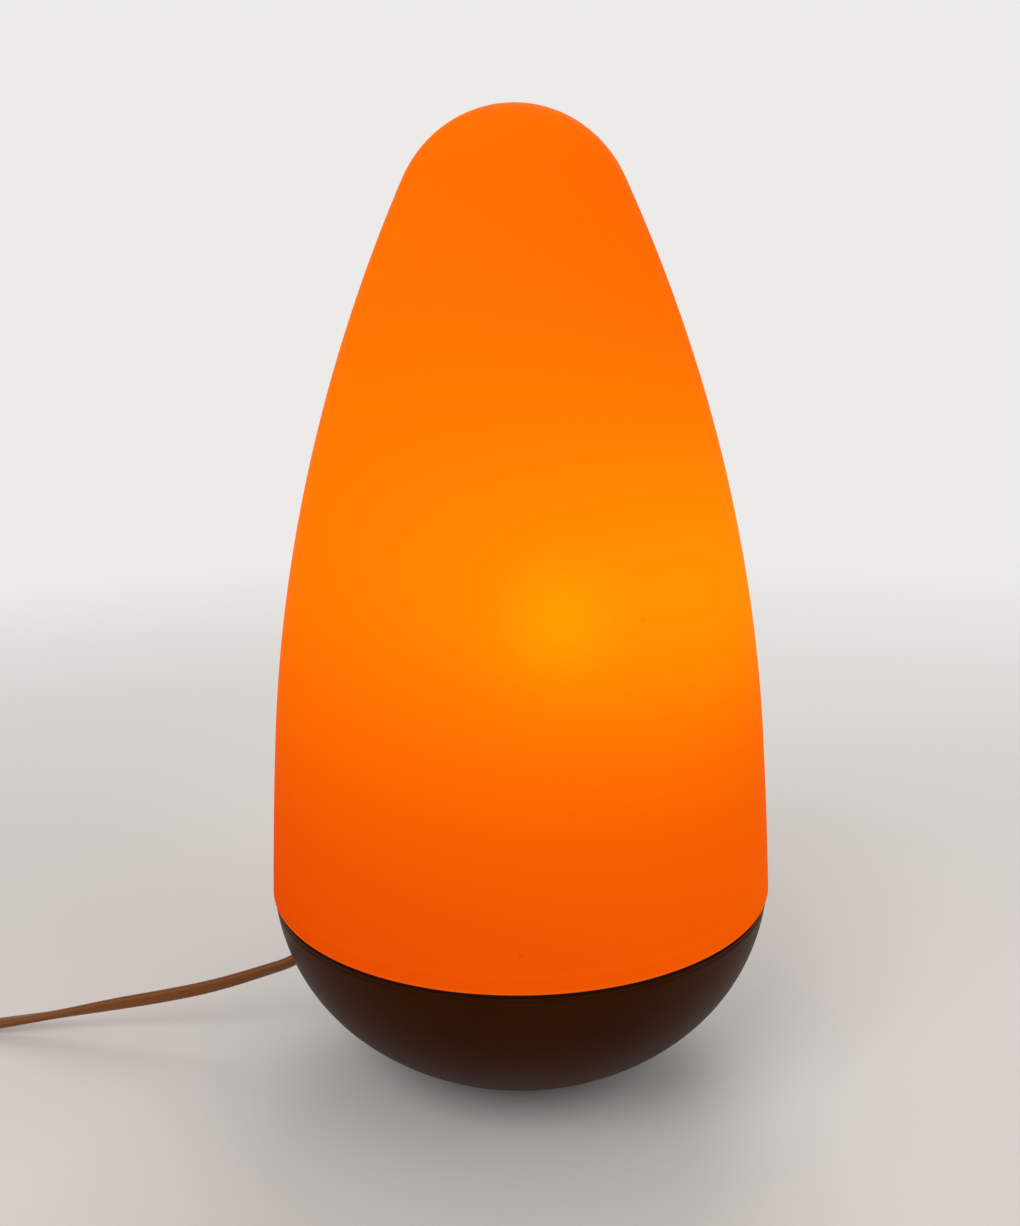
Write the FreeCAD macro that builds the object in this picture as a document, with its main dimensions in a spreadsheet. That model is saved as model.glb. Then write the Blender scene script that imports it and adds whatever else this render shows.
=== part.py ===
"""Egg lamp: a tall opal glass egg that stands open end down on a bowl-shaped base.

The bowl holds an iron weight, a threaded lamp tube and a pressed plate that carries the glass and
the lampholder. A flat flex leaves the bowl at its side and ends, past a switch, in a two-pin plug.
Millimetres and degrees. The origin is the middle of the foot, +Z is up and the flex leaves at -X.
"""

import FreeCAD
import Part
import math
import os
from types import SimpleNamespace

import Sketcher
from FreeCAD import Placement, Rotation, Vector

SIZES = {
    # Glass shade
    "lamp_height": 371.0,
    "rim_radius": 100.0,
    "glass_wall": 3.2,
    "glass_lean": 2.7,
    "belly_radius": 1960.0,
    "belly_angle": 4.6,
    "crown_radius": 45.0,
    "lip_round": 0.9,
    # Bowl and foot
    "pad_inset": 2.0,
    "pad_thickness": 2.0,
    "bowl_height": 71.0,
    "bowl_setback": 0.8,
    "bowl_rim_tilt": 5.5,
    "bowl_side_radius": 74.0,
    "bowl_turn_angle": 43.5,
    "bowl_foot_radius": 30.0,
    "bowl_wall": 2.0,
    "bowl_edge_round": 0.8,
    "recess_radius": 15.0,
    "recess_depth": 9.0,
    # Lamp tube, nuts and weight
    "thread_radius": 5.0,
    "tube_wall": 1.4,
    "tube_end": 1.5,
    "slot_width": 6.4,
    "slot_height": 16.0,
    "nut_width": 14.0,
    "nut_height": 4.0,
    "washer_radius": 11.0,
    "washer_thickness": 1.5,
    "ballast_thickness": 8.0,
    "ballast_foot_inset": 3.0,
    "ballast_side_gap": 6.8,
    "ballast_gap": 0.3,
    "fit_gap": 0.1,
    # Carrier plate and seat ring
    "sheet_thickness": 1.2,
    "deck_drop": 8.0,
    "ridge_height": 6.0,
    "ridge_width": 6.0,
    "ring_setback": 1.4,
    "ring_thickness": 1.4,
    "ring_lip": 1.2,
    "shade_gap": 0.6,
    # Lampholder
    "holder_radius": 19.5,
    "holder_wall": 2.5,
    "holder_neck_radius": 10.5,
    "holder_neck_height": 4.0,
    "holder_floor": 8.0,
    "holder_cap_height": 28.0,
    "insert_height": 8.0,
    "insert_ledge": 2.0,
    "skirt_height": 27.0,
    "skirt_wall": 3.2,
    "skirt_gap": 0.45,
    "shell_bore": 13.35,
    "shell_wall": 0.5,
    "shell_height": 22.0,
    "contact_width": 5.0,
    "contact_thickness": 0.6,
    "contact_rise": 3.4,
    "contact_reach": 9.0,
    "terminal_spacing": 16.0,
    "terminal_radius": 2.2,
    "terminal_height": 4.0,
    # Bulb
    "bulb_gap": 0.3,
    "bulb_tip_radius": 5.0,
    "bulb_tip_height": 1.0,
    "bulb_glass_inset": 2.5,
    "bulb_glass_height": 3.0,
    "bulb_thread_gap": 0.3,
    "bulb_cap_height": 21.0,
    "bulb_shoulder": 0.8,
    "bulb_body_height": 40.0,
    "bulb_flare_radius": 90.0,
    "bulb_radius": 30.0,
    "bulb_dome_drop": 10.0,
    "bulb_dome_wall": 1.2,
    # Flex, grommet and grip
    "flex_radius": 2.8,
    "exit_tilt": 32.5,
    "hole_radius": 4.6,
    "grommet_flange_radius": 7.0,
    "grommet_flange": 2.0,
    "grommet_collar_radius": 5.4,
    "grommet_collar": 1.0,
    "grommet_nose": 4.0,
    "grommet_tail": 14.0,
    "grommet_end_wall": 0.7,
    "grommet_gap": 0.15,
    "grip_place": 39.0,
    "grip_length": 10.0,
    "grip_strap": 1.2,
    "grip_span": 22.0,
    "grip_screw_spacing": 15.4,
    "screw_radius": 1.5,
    "screw_head_radius": 2.8,
    "screw_head_height": 1.8,
    "inner_flex_end": 34.0,
    "lead_radius": 0.8,
    "lead_spacing": 2.8,
    # Switch on the flex
    "switch_place": 327.0,
    "switch_offset": 2.0,
    "switch_length": 62.0,
    "switch_width": 27.0,
    "switch_end_width": 15.0,
    "switch_taper": 14.0,
    "switch_split": 8.0,
    "switch_height": 17.0,
    "switch_wall": 2.0,
    "switch_side_wall": 3.5,
    "switch_end_wall": 14.0,
    "switch_screw_inset": 9.0,
    "switch_round": 1.6,
    "switch_corner": 4.5,
    "switch_flank": 14.0,
    "rocker_length": 19.0,
    "rocker_width": 9.0,
    "rocker_rise": 3.5,
    "rocker_crown": 1.5,
    "rocker_foot": 4.0,
    "rocker_tilt": 10.0,
    "rocker_gap": 0.9,
    "pivot_depth": 3.7,
    "pivot_radius": 1.25,
    "pivot_gap": 0.06,
    "lug_thickness": 2.5,
    "blade_length": 26.0,
    "blade_width": 3.0,
    "blade_thickness": 0.8,
    "blade_spacing": 13.0,
    # Coil of flex and its tie
    "coil_place": 357.0,
    "coil_offset": 62.0,
    "coil_inner_radius": 24.8,
    "coil_gap": 0.55,
    "coil_lift": 0.9,
    "tie_width": 8.0,
    "tie_thickness": 0.6,
    "tie_gap": 0.25,
    # Plug
    "plug_place": 300.0,
    "plug_boot_length": 22.0,
    "plug_boot_radius": 6.0,
    "plug_length": 36.0,
    "plug_width": 35.3,
    "plug_waist": 15.0,
    "plug_taper": 14.0,
    "plug_thickness": 13.7,
    "plug_round": 3.0,
    "plug_corner": 4.0,
    "plug_flank": 10.0,
    "pin_radius": 2.0,
    "pin_length": 19.0,
    "pin_spacing": 18.6,
}

# Turns of the put-away coil: in along the floor, up half a turn, and out again on top
TURNS_IN = 3.0
TURNS_UP = 0.5
TURNS_OUT = 2.75

doc = FreeCAD.newDocument("EggLamp")
sheet = doc.addObject("Spreadsheet::Sheet", "Sizes")
for row, (name, number) in enumerate(SIZES.items(), start=1):
    sheet.set(f"A{row}", name)
    sheet.set(f"B{row}", str(number))
    sheet.setAlias(f"B{row}", name)
doc.recompute()


class Size:
    """A size of the sheet, or one worked out from such sizes: its value and its expression."""

    def __init__(self, value, text):
        self.value = value
        self.text = text

    def __add__(self, other):
        other = as_size(other)
        return Size(self.value + other.value, f"({self.text} + {other.text})")

    def __sub__(self, other):
        other = as_size(other)
        return Size(self.value - other.value, f"({self.text} - {other.text})")

    def __mul__(self, other):
        other = as_size(other)
        return Size(self.value * other.value, f"({self.text} * {other.text})")

    def __truediv__(self, other):
        other = as_size(other)
        return Size(self.value / other.value, f"({self.text} / {other.text})")

    def __neg__(self):
        return Size(-self.value, f"(0 - {self.text})")


def as_size(amount):
    return amount if isinstance(amount, Size) else Size(float(amount), repr(float(amount)))


def root(size):
    return Size(math.sqrt(size.value), f"sqrt({size.text})")


def cosine(size):
    return Size(math.cos(math.radians(size.value)), f"cos({size.text})")


def sine(size):
    return Size(math.sin(math.radians(size.value)), f"sin({size.text})")


s = SimpleNamespace(**{name: Size(float(sheet.get(name)), f"Sizes.{name}") for name in SIZES})
pieces = []


def bind(thing, prop, size):
    thing.setExpression(prop, as_size(size).text)


def place(thing, x=0.0, y=0.0, z=0.0, axis=None, angle=0.0):
    """Puts a piece at x, y, z, turned by an angle about an axis; all follow the sheet."""
    if axis is not None:
        thing.Placement = Placement(Vector(), Rotation(axis, as_size(angle).value))
        bind(thing, "Placement.Rotation.Angle", angle)
    for letter, amount in zip("xyz", (x, y, z)):
        bind(thing, f"Placement.Base.{letter}", amount)


def keep(thing, label):
    """Names a finished piece; the label names its file."""
    thing.Label = label
    pieces.append(thing)
    return thing


def sketch_on(body, plane, name):
    sketch = body.newObject("Sketcher::SketchObject", name)
    support = next(feature for feature in body.Origin.OriginFeatures if feature.Role == plane)
    sketch.AttachmentSupport = [(support, "")]
    sketch.MapMode = "FlatFace"
    return sketch


def arc_between(start, end, radius, turn):
    """The arc of a radius from start to end, and whether it is stored from start to end."""
    chord = end - start
    half = chord.Length / 2
    side = Vector(-chord.y, chord.x, 0).normalize() * (1 if turn == "left" else -1)
    centre = (start + end) / 2 + side * math.sqrt(max(radius * radius - half * half, 0.0))
    first, last = (start, end) if turn == "left" else (end, start)
    angles = [math.atan2(p.y - centre.y, p.x - centre.x) for p in (first, last)]
    if angles[1] < angles[0]:
        angles[1] += 2 * math.pi
    circle = Part.Circle(centre, Vector(0, 0, 1), radius)
    return Part.ArcOfCircle(circle, *angles), turn == "left"


def draw(sketch, corners):
    """Draws a closed outline. A corner is (across, up), or (across, up, radius, turn) where the edge
    that leads to it is an arc; every corner and radius is tied to the sheet."""
    corners = [tuple(as_size(c) if not isinstance(c, str) else c for c in corner) for corner in corners]
    spots = [Vector(corner[0].value, corner[1].value, 0) for corner in corners]
    edges = []
    for i, corner in enumerate(corners):
        start, end = spots[i - 1], spots[i]
        if len(corner) == 2:
            edges.append((sketch.addGeometry(Part.LineSegment(start, end), False), 1, 2))
            continue
        curve, forward = arc_between(start, end, corner[2].value, corner[3])
        index = sketch.addGeometry(curve, False)
        edges.append((index, 1, 2) if forward else (index, 2, 1))
        rule = sketch.addConstraint(Sketcher.Constraint("Radius", index, corner[2].value))
        bind(sketch, f"Constraints[{rule}]", corner[2])
    for i, corner in enumerate(corners):
        index, _, end = edges[i]
        following, start, _ = edges[(i + 1) % len(edges)]
        sketch.addConstraint(Sketcher.Constraint("Coincident", index, end, following, start))
        for kind, axis, amount in (("DistanceX", -2, corner[0]), ("DistanceY", -1, corner[1])):
            if amount.text == "0.0":
                sketch.addConstraint(Sketcher.Constraint("PointOnObject", index, end, axis))
                continue
            rule = sketch.addConstraint(Sketcher.Constraint(kind, -1, 1, index, end, amount.value))
            bind(sketch, f"Constraints[{rule}]", amount)


def turned(label, corners):
    """A body turned about Z from an outline of (radius, height) corners."""
    body = doc.addObject("PartDesign::Body", label)
    outline = sketch_on(body, "XZ_Plane", f"{label}_outline")
    draw(outline, corners)
    turn = body.newObject("PartDesign::Revolution", f"{label}_turn")
    turn.Profile = outline
    turn.ReferenceAxis = (outline, ["V_Axis"])
    turn.Angle = 360.0
    return body


def extruded(label, plane, corners, length):
    """A body with the outline on a plane and half the length to each side of it."""
    body = doc.addObject("PartDesign::Body", label)
    outline = sketch_on(body, plane, f"{label}_outline")
    draw(outline, corners)
    pad = body.newObject("PartDesign::Pad", f"{label}_pad")
    pad.Profile = outline
    pad.SideType = "Symmetric"
    bind(pad, "Length", length)
    return body


def rounded_edges(body, radius, chosen):
    """Rounds the edges of the body's last feature that chosen picks."""
    doc.recompute()
    base = body.Tip
    names = [f"Edge{i}" for i, edge in enumerate(base.Shape.Edges, start=1) if chosen(edge)]
    fillet = body.newObject("PartDesign::Fillet", f"{body.Name}_round")
    fillet.Base = (base, names)
    bind(fillet, "Radius", radius)
    body.Tip = fillet


def level(edge, height):
    """Whether an edge lies wholly at a height."""
    return abs(edge.BoundBox.ZMin - height.value) < 1e-4 and abs(edge.BoundBox.ZMax - height.value) < 1e-4


def upright(edge, least, most):
    """Whether an edge stands upright at a distance along X, to either side, from least to most."""
    box = edge.BoundBox
    away = abs(edge.CenterOfMass.x)
    return box.XLength < 1e-3 and box.YLength < 1e-3 and least.value - 1e-3 < away < most.value + 1e-3


def cylinder(label, radius, height, **where):
    made = doc.addObject("Part::Cylinder", label)
    bind(made, "Radius", radius)
    bind(made, "Height", height)
    place(made, **where)
    return made


def block(label, length, width, height, x, y, z):
    """A box whose middle stands at x, y and whose foot is at z."""
    made = doc.addObject("Part::Box", label)
    for prop, amount in (("Length", length), ("Width", width), ("Height", height)):
        bind(made, prop, amount)
    place(made, as_size(x) - as_size(length) / 2, as_size(y) - as_size(width) / 2, z)
    return made


def cut(label, base, *tools):
    """The base with each tool taken away."""
    for i, tool in enumerate(tools, start=1):
        made = doc.addObject("Part::Cut", label if i == len(tools) else f"{label}_{i}")
        made.Base = base
        made.Tool = tool
        base = made
    return base


def fused(label, *shapes):
    made = doc.addObject("Part::MultiFuse", label)
    made.Shapes = list(shapes)
    return made


def group(label, things):
    """Like pieces as one node of separate solids."""
    made = doc.addObject("Part::Compound", label)
    made.Links = things
    return keep(made, label)


# Heights up the middle of the lamp
foot = s.pad_thickness
bowl_top = foot + s.bowl_height
flange_top = bowl_top + s.sheet_thickness
rim = flange_top + s.ring_thickness
deck_top = flange_top - s.deck_drop
deck_under = deck_top - s.sheet_thickness
recess_roof = foot + s.recess_depth
dome_top = recess_roof + s.bowl_wall
ballast_top = dome_top + s.ballast_thickness
thread_hole = s.thread_radius + s.fit_gap
tube_bore = s.thread_radius - s.tube_wall
bowl_rim = s.rim_radius - s.bowl_setback

# Felt pad: a plain disc under the bowl
pad_radius = s.bowl_foot_radius - s.pad_inset
pad_corners = [(0, 0), (pad_radius, 0), (pad_radius, foot), (0, foot)]
keep(turned("foot_pad", pad_corners), "foot_pad")

# Bowl: two tangent arcs from the rim to the foot, and a recess in the foot for the nut
side_r = bowl_rim - s.bowl_side_radius * cosine(s.bowl_rim_tilt)
side_z = bowl_top + s.bowl_side_radius * sine(s.bowl_rim_tilt)
turn_cos, turn_sin = cosine(s.bowl_turn_angle), sine(s.bowl_turn_angle)
turn_r = side_r + s.bowl_side_radius * turn_cos
turn_z = side_z - s.bowl_side_radius * turn_sin
out_r, out_z = turn_r - s.bowl_foot_radius, turn_z - foot
under_radius = (out_r * out_r + out_z * out_z) / ((out_r * turn_cos - out_z * turn_sin) * 2)
under_r = turn_r - under_radius * turn_cos
under_z = turn_z + under_radius * turn_sin
side_inner = s.bowl_side_radius - s.bowl_wall
under_inner = under_radius - s.bowl_wall
bowl_floor = foot + s.bowl_wall
rim_inner_r = side_r + root(side_inner * side_inner - (side_z - bowl_top) * (side_z - bowl_top))
floor_r = under_r + root(under_inner * under_inner - (under_z - bowl_floor) * (under_z - bowl_floor))
bowl_corners = [
    (thread_hole, recess_roof),
    (s.recess_radius, recess_roof),
    (s.recess_radius, foot),
    (s.bowl_foot_radius, foot),
    (turn_r, turn_z, under_radius, "left"),
    (bowl_rim, bowl_top, s.bowl_side_radius, "left"),
    (rim_inner_r, bowl_top),
    (side_r + side_inner * turn_cos, side_z - side_inner * turn_sin, side_inner, "right"),
    (floor_r, bowl_floor, under_inner, "right"),
    (s.recess_radius + s.bowl_wall, bowl_floor),
    (s.recess_radius + s.bowl_wall, dome_top),
    (thread_hole, dome_top),
]
bowl = turned("bowl_shell", bowl_corners)
rounded_edges(
    bowl,
    s.bowl_edge_round,
    lambda edge: level(edge, bowl_top) and edge.BoundBox.XMax > bowl_rim.value - 1e-3,
)
exit_x = -(side_r + s.bowl_side_radius * cosine(s.exit_tilt))
exit_z = side_z - s.bowl_side_radius * sine(s.exit_tilt)
exit_way = {"axis": Vector(0, 1, 0), "angle": -(s.exit_tilt + 90)}
drill_length = s.bowl_wall * 8
exit_hole = cylinder(
    "exit_hole",
    s.hole_radius,
    drill_length,
    x=exit_x + cosine(s.exit_tilt) * drill_length / 2,
    z=exit_z + sine(s.exit_tilt) * drill_length / 2,
    **exit_way,
)
keep(cut("base_bowl", bowl, exit_hole), "base_bowl")

# Weight: an iron casting that sits on the recess of the bowl
ballast_drop = under_z - ballast_top
ballast_radius = under_r + root(under_inner * under_inner - ballast_drop * ballast_drop) - s.ballast_side_gap
ballast_corners = [
    (thread_hole, dome_top),
    (s.recess_radius + s.bowl_wall + s.ballast_gap, dome_top),
    (s.recess_radius + s.bowl_wall + s.ballast_gap, bowl_floor + s.ballast_gap),
    (s.bowl_foot_radius - s.ballast_foot_inset, bowl_floor + s.ballast_gap),
    (ballast_radius, ballast_top),
    (thread_hole, ballast_top),
]
keep(turned("ballast_weight", ballast_corners), "ballast_weight")

# Carrier plate: pressed sheet with a rim on the bowl, a raised ridge inside the glass and a deck
lip_root = -(s.belly_radius * cosine(s.glass_lean)) + s.rim_radius
lip_rise = s.belly_radius * sine(s.glass_lean)
belly_inner = s.belly_radius - s.glass_wall
glass_bore = lip_root + root(belly_inner * belly_inner - lip_rise * lip_rise)
ring_outside = glass_bore - s.shade_gap
ring_inside = ring_outside - s.ring_lip
ridge_out = ring_inside - s.fit_gap
ridge_in = ridge_out - s.ridge_width
ridge_top = flange_top + s.ridge_height
ridge_roof = ridge_top - s.sheet_thickness
plate_corners = [
    (thread_hole, deck_under),
    (ridge_in + s.sheet_thickness, deck_under),
    (ridge_in + s.sheet_thickness, ridge_roof),
    (ridge_out - s.sheet_thickness, ridge_roof),
    (ridge_out - s.sheet_thickness, bowl_top),
    (bowl_rim, bowl_top),
    (bowl_rim, flange_top),
    (ridge_out, flange_top),
    (ridge_out, ridge_top),
    (ridge_in, ridge_top),
    (ridge_in, deck_top),
    (thread_hole, deck_top),
]
plate = turned("plate_sheet", plate_corners)
screw_hole = s.screw_radius + s.fit_gap
grip_sides = [s.grip_screw_spacing / 2, -(s.grip_screw_spacing / 2)]
plate_holes = [
    cylinder(f"plate_hole_{i}", screw_hole, s.sheet_thickness * 3, x=-s.grip_place, y=y,
             z=deck_under - s.sheet_thickness)
    for i, y in enumerate(grip_sides)
]
keep(cut("carrier_plate", plate, *plate_holes), "carrier_plate")

# Seat ring: soft L-section that cushions and centres the edge of the glass
ring_edge = s.rim_radius - s.ring_setback
ring_corners = [
    (ring_inside, flange_top),
    (ring_edge, flange_top),
    (ring_edge, rim),
    (ring_outside, rim),
    (ring_outside, ridge_top),
    (ring_inside, ridge_top),
]
keep(turned("shade_seat_ring", ring_corners), "shade_seat_ring")

# Glass: a long belly arc, a flank arc and a round crown, each tangent to the next
belly_cos, belly_sin = cosine(s.belly_angle), sine(s.belly_angle)
belly_z = rim - lip_rise
joint_r = lip_root + s.belly_radius * belly_cos
joint_z = belly_z + s.belly_radius * belly_sin
crown_z = s.lamp_height - s.crown_radius
drop = joint_z - crown_z
flank_radius = (joint_r * joint_r + drop * drop - s.crown_radius * s.crown_radius) / (
    (joint_r * belly_cos + drop * belly_sin - s.crown_radius) * 2
)
flank_r = joint_r - flank_radius * belly_cos
flank_z = joint_z - flank_radius * belly_sin
crown_across = -flank_r / (flank_radius - s.crown_radius)
crown_up = (crown_z - flank_z) / (flank_radius - s.crown_radius)
flank_inner = flank_radius - s.glass_wall
crown_inner = s.crown_radius - s.glass_wall
glass_corners = [
    (s.rim_radius, rim),
    (joint_r, joint_z, s.belly_radius, "left"),
    (crown_across * s.crown_radius, crown_z + crown_up * s.crown_radius, flank_radius, "left"),
    (0, crown_z + s.crown_radius, s.crown_radius, "left"),
    (0, crown_z + crown_inner),
    (crown_across * crown_inner, crown_z + crown_up * crown_inner, crown_inner, "right"),
    (flank_r + flank_inner * belly_cos, flank_z + flank_inner * belly_sin, flank_inner, "right"),
    (glass_bore, rim, belly_inner, "right"),
]
glass = turned("glass_shade", glass_corners)
rounded_edges(glass, s.lip_round, lambda edge: level(edge, rim))
keep(glass, "glass_shade")

# Lamp tube: threaded tube that clamps the whole base, with a slot for the leads
washer_foot = recess_roof - s.washer_thickness
tube_foot = washer_foot - s.nut_height - s.tube_end
cap_foot = deck_top + s.nut_height
tube_top = cap_foot + s.holder_floor + s.tube_end
tube_corners = [
    (tube_bore, tube_foot),
    (s.thread_radius, tube_foot),
    (s.thread_radius, tube_top),
    (tube_bore, tube_top),
]
slot_foot = deck_under - s.nut_height - s.slot_height - s.tube_end
tube_slot = block(
    "tube_slot",
    s.thread_radius * 2,
    s.slot_width,
    s.slot_height,
    -s.thread_radius,
    0.0,
    slot_foot,
)
keep(cut("lamp_tube", turned("lamp_tube_turned", tube_corners), tube_slot), "lamp_tube")


def nut(i, z):
    hexagon = doc.addObject("Part::Prism", f"nut_hexagon_{i}")
    hexagon.Polygon = 6
    bind(hexagon, "Circumradius", s.nut_width / root(as_size(3)))
    bind(hexagon, "Height", s.nut_height)
    place(hexagon, z=z)
    return cut(f"nut_{i}", hexagon, cylinder(f"nut_hole_{i}", thread_hole, s.nut_height, z=z))


nut_feet = [
    washer_foot - s.nut_height,
    ballast_top + s.washer_thickness,
    deck_under - s.nut_height,
    deck_top,
]
group("lamp_nuts", [nut(i, z) for i, z in enumerate(nut_feet)])


def washer(i, z):
    disc = cylinder(f"washer_disc_{i}", s.washer_radius, s.washer_thickness, z=z)
    return cut(f"washer_{i}", disc, cylinder(f"washer_hole_{i}", thread_hole, s.washer_thickness, z=z))


group("lamp_washers", [washer(i, z) for i, z in enumerate([washer_foot, ballast_top])])

# Lampholder: domed cap on the tube, ceramic insert on a ledge inside it, and a skirt on top
shoulder = s.holder_radius - s.holder_neck_radius
shoulder_top = cap_foot + s.holder_neck_height + shoulder
cap_rim = cap_foot + s.holder_cap_height
cap_bore = s.holder_radius - s.holder_wall
ledge_bore = cap_bore - s.insert_ledge
insert_foot = cap_rim - s.insert_height
cap_floor = cap_foot + s.holder_floor
cap_corners = [
    (thread_hole, cap_foot),
    (s.holder_neck_radius, cap_foot),
    (s.holder_neck_radius, cap_foot + s.holder_neck_height),
    (s.holder_radius, shoulder_top, shoulder, "left"),
    (s.holder_radius, cap_rim),
    (cap_bore, cap_rim),
    (cap_bore, insert_foot),
    (ledge_bore, insert_foot),
    (ledge_bore, shoulder_top),
    (ledge_bore - s.holder_wall, cap_floor),
    (thread_hole, cap_floor),
]
keep(turned("holder_cap", cap_corners), "holder_cap")

insert_radius = cap_bore - s.fit_gap
insert_corners = [(0, insert_foot), (insert_radius, insert_foot), (insert_radius, cap_rim), (0, cap_rim)]
insert = turned("insert_disc", insert_corners)
terminal_sides = [s.terminal_spacing / 2, -(s.terminal_spacing / 2)]
terminal_bores = [
    cylinder(f"terminal_bore_{i}", s.terminal_radius + s.fit_gap, s.terminal_height, y=y, z=insert_foot)
    for i, y in enumerate(terminal_sides)
]
keep(cut("holder_insert", insert, *terminal_bores), "holder_insert")
group(
    "holder_terminals",
    [
        cylinder(f"terminal_{i}", s.terminal_radius, s.terminal_height, y=y, z=insert_foot)
        for i, y in enumerate(terminal_sides)
    ],
)

shell_top = cap_rim + s.shell_height
shell_outside = s.shell_bore + s.shell_wall
skirt_top = cap_rim + s.skirt_height
skirt_bore = shell_outside + s.skirt_gap
skirt_corners = [
    (skirt_bore, cap_rim),
    (s.holder_radius, cap_rim),
    (skirt_bore + s.skirt_wall, skirt_top),
    (skirt_bore, skirt_top),
]
keep(turned("holder_skirt", skirt_corners), "holder_skirt")

shell_corners = [
    (s.shell_bore, cap_rim),
    (shell_outside, cap_rim),
    (shell_outside, shell_top),
    (s.shell_bore, shell_top),
]
keep(turned("holder_screw_shell", shell_corners), "holder_screw_shell")

# Centre contact: a strip bent up from the insert to the tip of the bulb
contact_top = cap_rim + s.contact_rise
contact_corners = [
    (-s.contact_reach, cap_rim),
    (-(s.contact_reach / 2), cap_rim),
    (0, contact_top - s.contact_thickness),
    (s.bulb_tip_radius, contact_top - s.contact_thickness),
    (s.bulb_tip_radius, contact_top),
    (-s.contact_thickness, contact_top),
    (-(s.contact_reach / 2) - s.contact_thickness, cap_rim + s.contact_thickness),
    (-s.contact_reach, cap_rim + s.contact_thickness),
]
keep(extruded("holder_contact", "XZ_Plane", contact_corners, s.contact_width), "holder_contact")

# Bulb: contact tip, glass insulator, screw cap, flared body and dome
bulb_cap_radius = s.shell_bore - s.bulb_thread_gap
bulb_glass_radius = bulb_cap_radius - s.bulb_glass_inset
bulb_neck_radius = bulb_cap_radius + s.bulb_shoulder
tip_foot = contact_top + s.bulb_gap
tip_top = tip_foot + s.bulb_tip_height
cap_start = tip_top + s.bulb_glass_height
neck = cap_start + s.bulb_cap_height
flare_top = neck + s.bulb_body_height
bulb_middle = flare_top + s.bulb_dome_drop
dome_edge = root(s.bulb_radius * s.bulb_radius - s.bulb_dome_drop * s.bulb_dome_drop)
dome_inner = s.bulb_radius - s.bulb_dome_wall
dome_edge_inner = root(dome_inner * dome_inner - s.bulb_dome_drop * s.bulb_dome_drop)
tip_corners = [(0, tip_foot), (s.bulb_tip_radius, tip_foot), (s.bulb_tip_radius, tip_top), (0, tip_top)]
insulator_corners = [
    (0, tip_top),
    (s.bulb_tip_radius + s.bulb_tip_height, tip_top),
    (bulb_glass_radius, cap_start),
    (0, cap_start),
]
bulb_cap_corners = [
    (0, cap_start),
    (bulb_glass_radius + s.bulb_tip_height, cap_start),
    (bulb_cap_radius, cap_start + s.bulb_glass_height),
    (bulb_cap_radius, neck),
    (0, neck),
]
bulb_body_corners = [
    (0, neck),
    (bulb_neck_radius, neck),
    (dome_edge, flare_top, s.bulb_flare_radius, "right"),
    (0, flare_top),
]
dome_corners = [
    (dome_edge, flare_top),
    (s.bulb_radius, bulb_middle, s.bulb_radius, "left"),
    (0, bulb_middle + s.bulb_radius, s.bulb_radius, "left"),
    (0, bulb_middle + dome_inner),
    (dome_inner, bulb_middle, dome_inner, "right"),
    (dome_edge_inner, flare_top, dome_inner, "right"),
]
keep(turned("bulb_tip", tip_corners), "bulb_tip")
keep(turned("bulb_insulator", insulator_corners), "bulb_insulator")
keep(turned("bulb_cap", bulb_cap_corners), "bulb_cap")
keep(turned("bulb_body", bulb_body_corners), "bulb_body")
keep(turned("bulb_dome", dome_corners), "bulb_dome")

# Grommet: flanged strain relief in the bowl wall, tapered to both ends, turned on its own axis
grommet_bore = s.flex_radius + s.grommet_gap
grommet_seat = -(s.bowl_wall + s.fit_gap * 4)
grommet_back = grommet_seat - s.grommet_flange
grommet_end_radius = grommet_bore + s.grommet_end_wall
grommet_corners = [
    (grommet_bore, grommet_back - s.grommet_tail),
    (grommet_end_radius, grommet_back - s.grommet_tail),
    (s.grommet_flange_radius, grommet_back),
    (s.grommet_flange_radius, grommet_seat),
    (s.hole_radius - s.fit_gap, grommet_seat),
    (s.hole_radius - s.fit_gap, 0),
    (s.grommet_collar_radius, 0),
    (s.grommet_collar_radius, s.grommet_collar),
    (grommet_end_radius, s.grommet_nose),
    (grommet_bore, s.grommet_nose),
]
grommet = turned("cord_grommet", grommet_corners)
place(grommet, x=exit_x, z=exit_z, **exit_way)
keep(grommet, "cord_grommet")

# Cord grip: a strap that holds the flex against the underside of the plate
grip_inner = s.flex_radius + s.grommet_gap
flex_level = deck_under - grip_inner
ear_foot = deck_under - s.grip_strap
grip_floor = flex_level - grip_inner
grip_outer = grip_inner + s.grip_strap
half_grip = s.grip_span / 2
grip_corners = [
    (-half_grip, ear_foot),
    (-grip_outer, ear_foot),
    (-grip_outer, grip_floor - s.grip_strap),
    (grip_outer, grip_floor - s.grip_strap),
    (grip_outer, ear_foot),
    (half_grip, ear_foot),
    (half_grip, deck_under),
    (grip_inner, deck_under),
    (grip_inner, grip_floor),
    (-grip_inner, grip_floor),
    (-grip_inner, deck_under),
    (-half_grip, deck_under),
]
grip = extruded("grip_strap", "YZ_Plane", grip_corners, s.grip_length)
place(grip, x=-s.grip_place)
grip_holes = [
    cylinder(f"grip_hole_{i}", screw_hole, s.grip_strap * 3, x=-s.grip_place, y=y, z=ear_foot - s.grip_strap)
    for i, y in enumerate(grip_sides)
]
keep(cut("cord_grip", grip, *grip_holes), "cord_grip")


def screw(label, x, y, seat, length):
    """A screw whose head lies under seat and whose shank goes up by length."""
    head = cylinder(f"{label}_head", s.screw_head_radius, s.screw_head_height, x=x, y=y,
                    z=seat - s.screw_head_height)
    shank = cylinder(f"{label}_shank", s.screw_radius, length, x=x, y=y, z=seat)
    return fused(label, head, shank)


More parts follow.
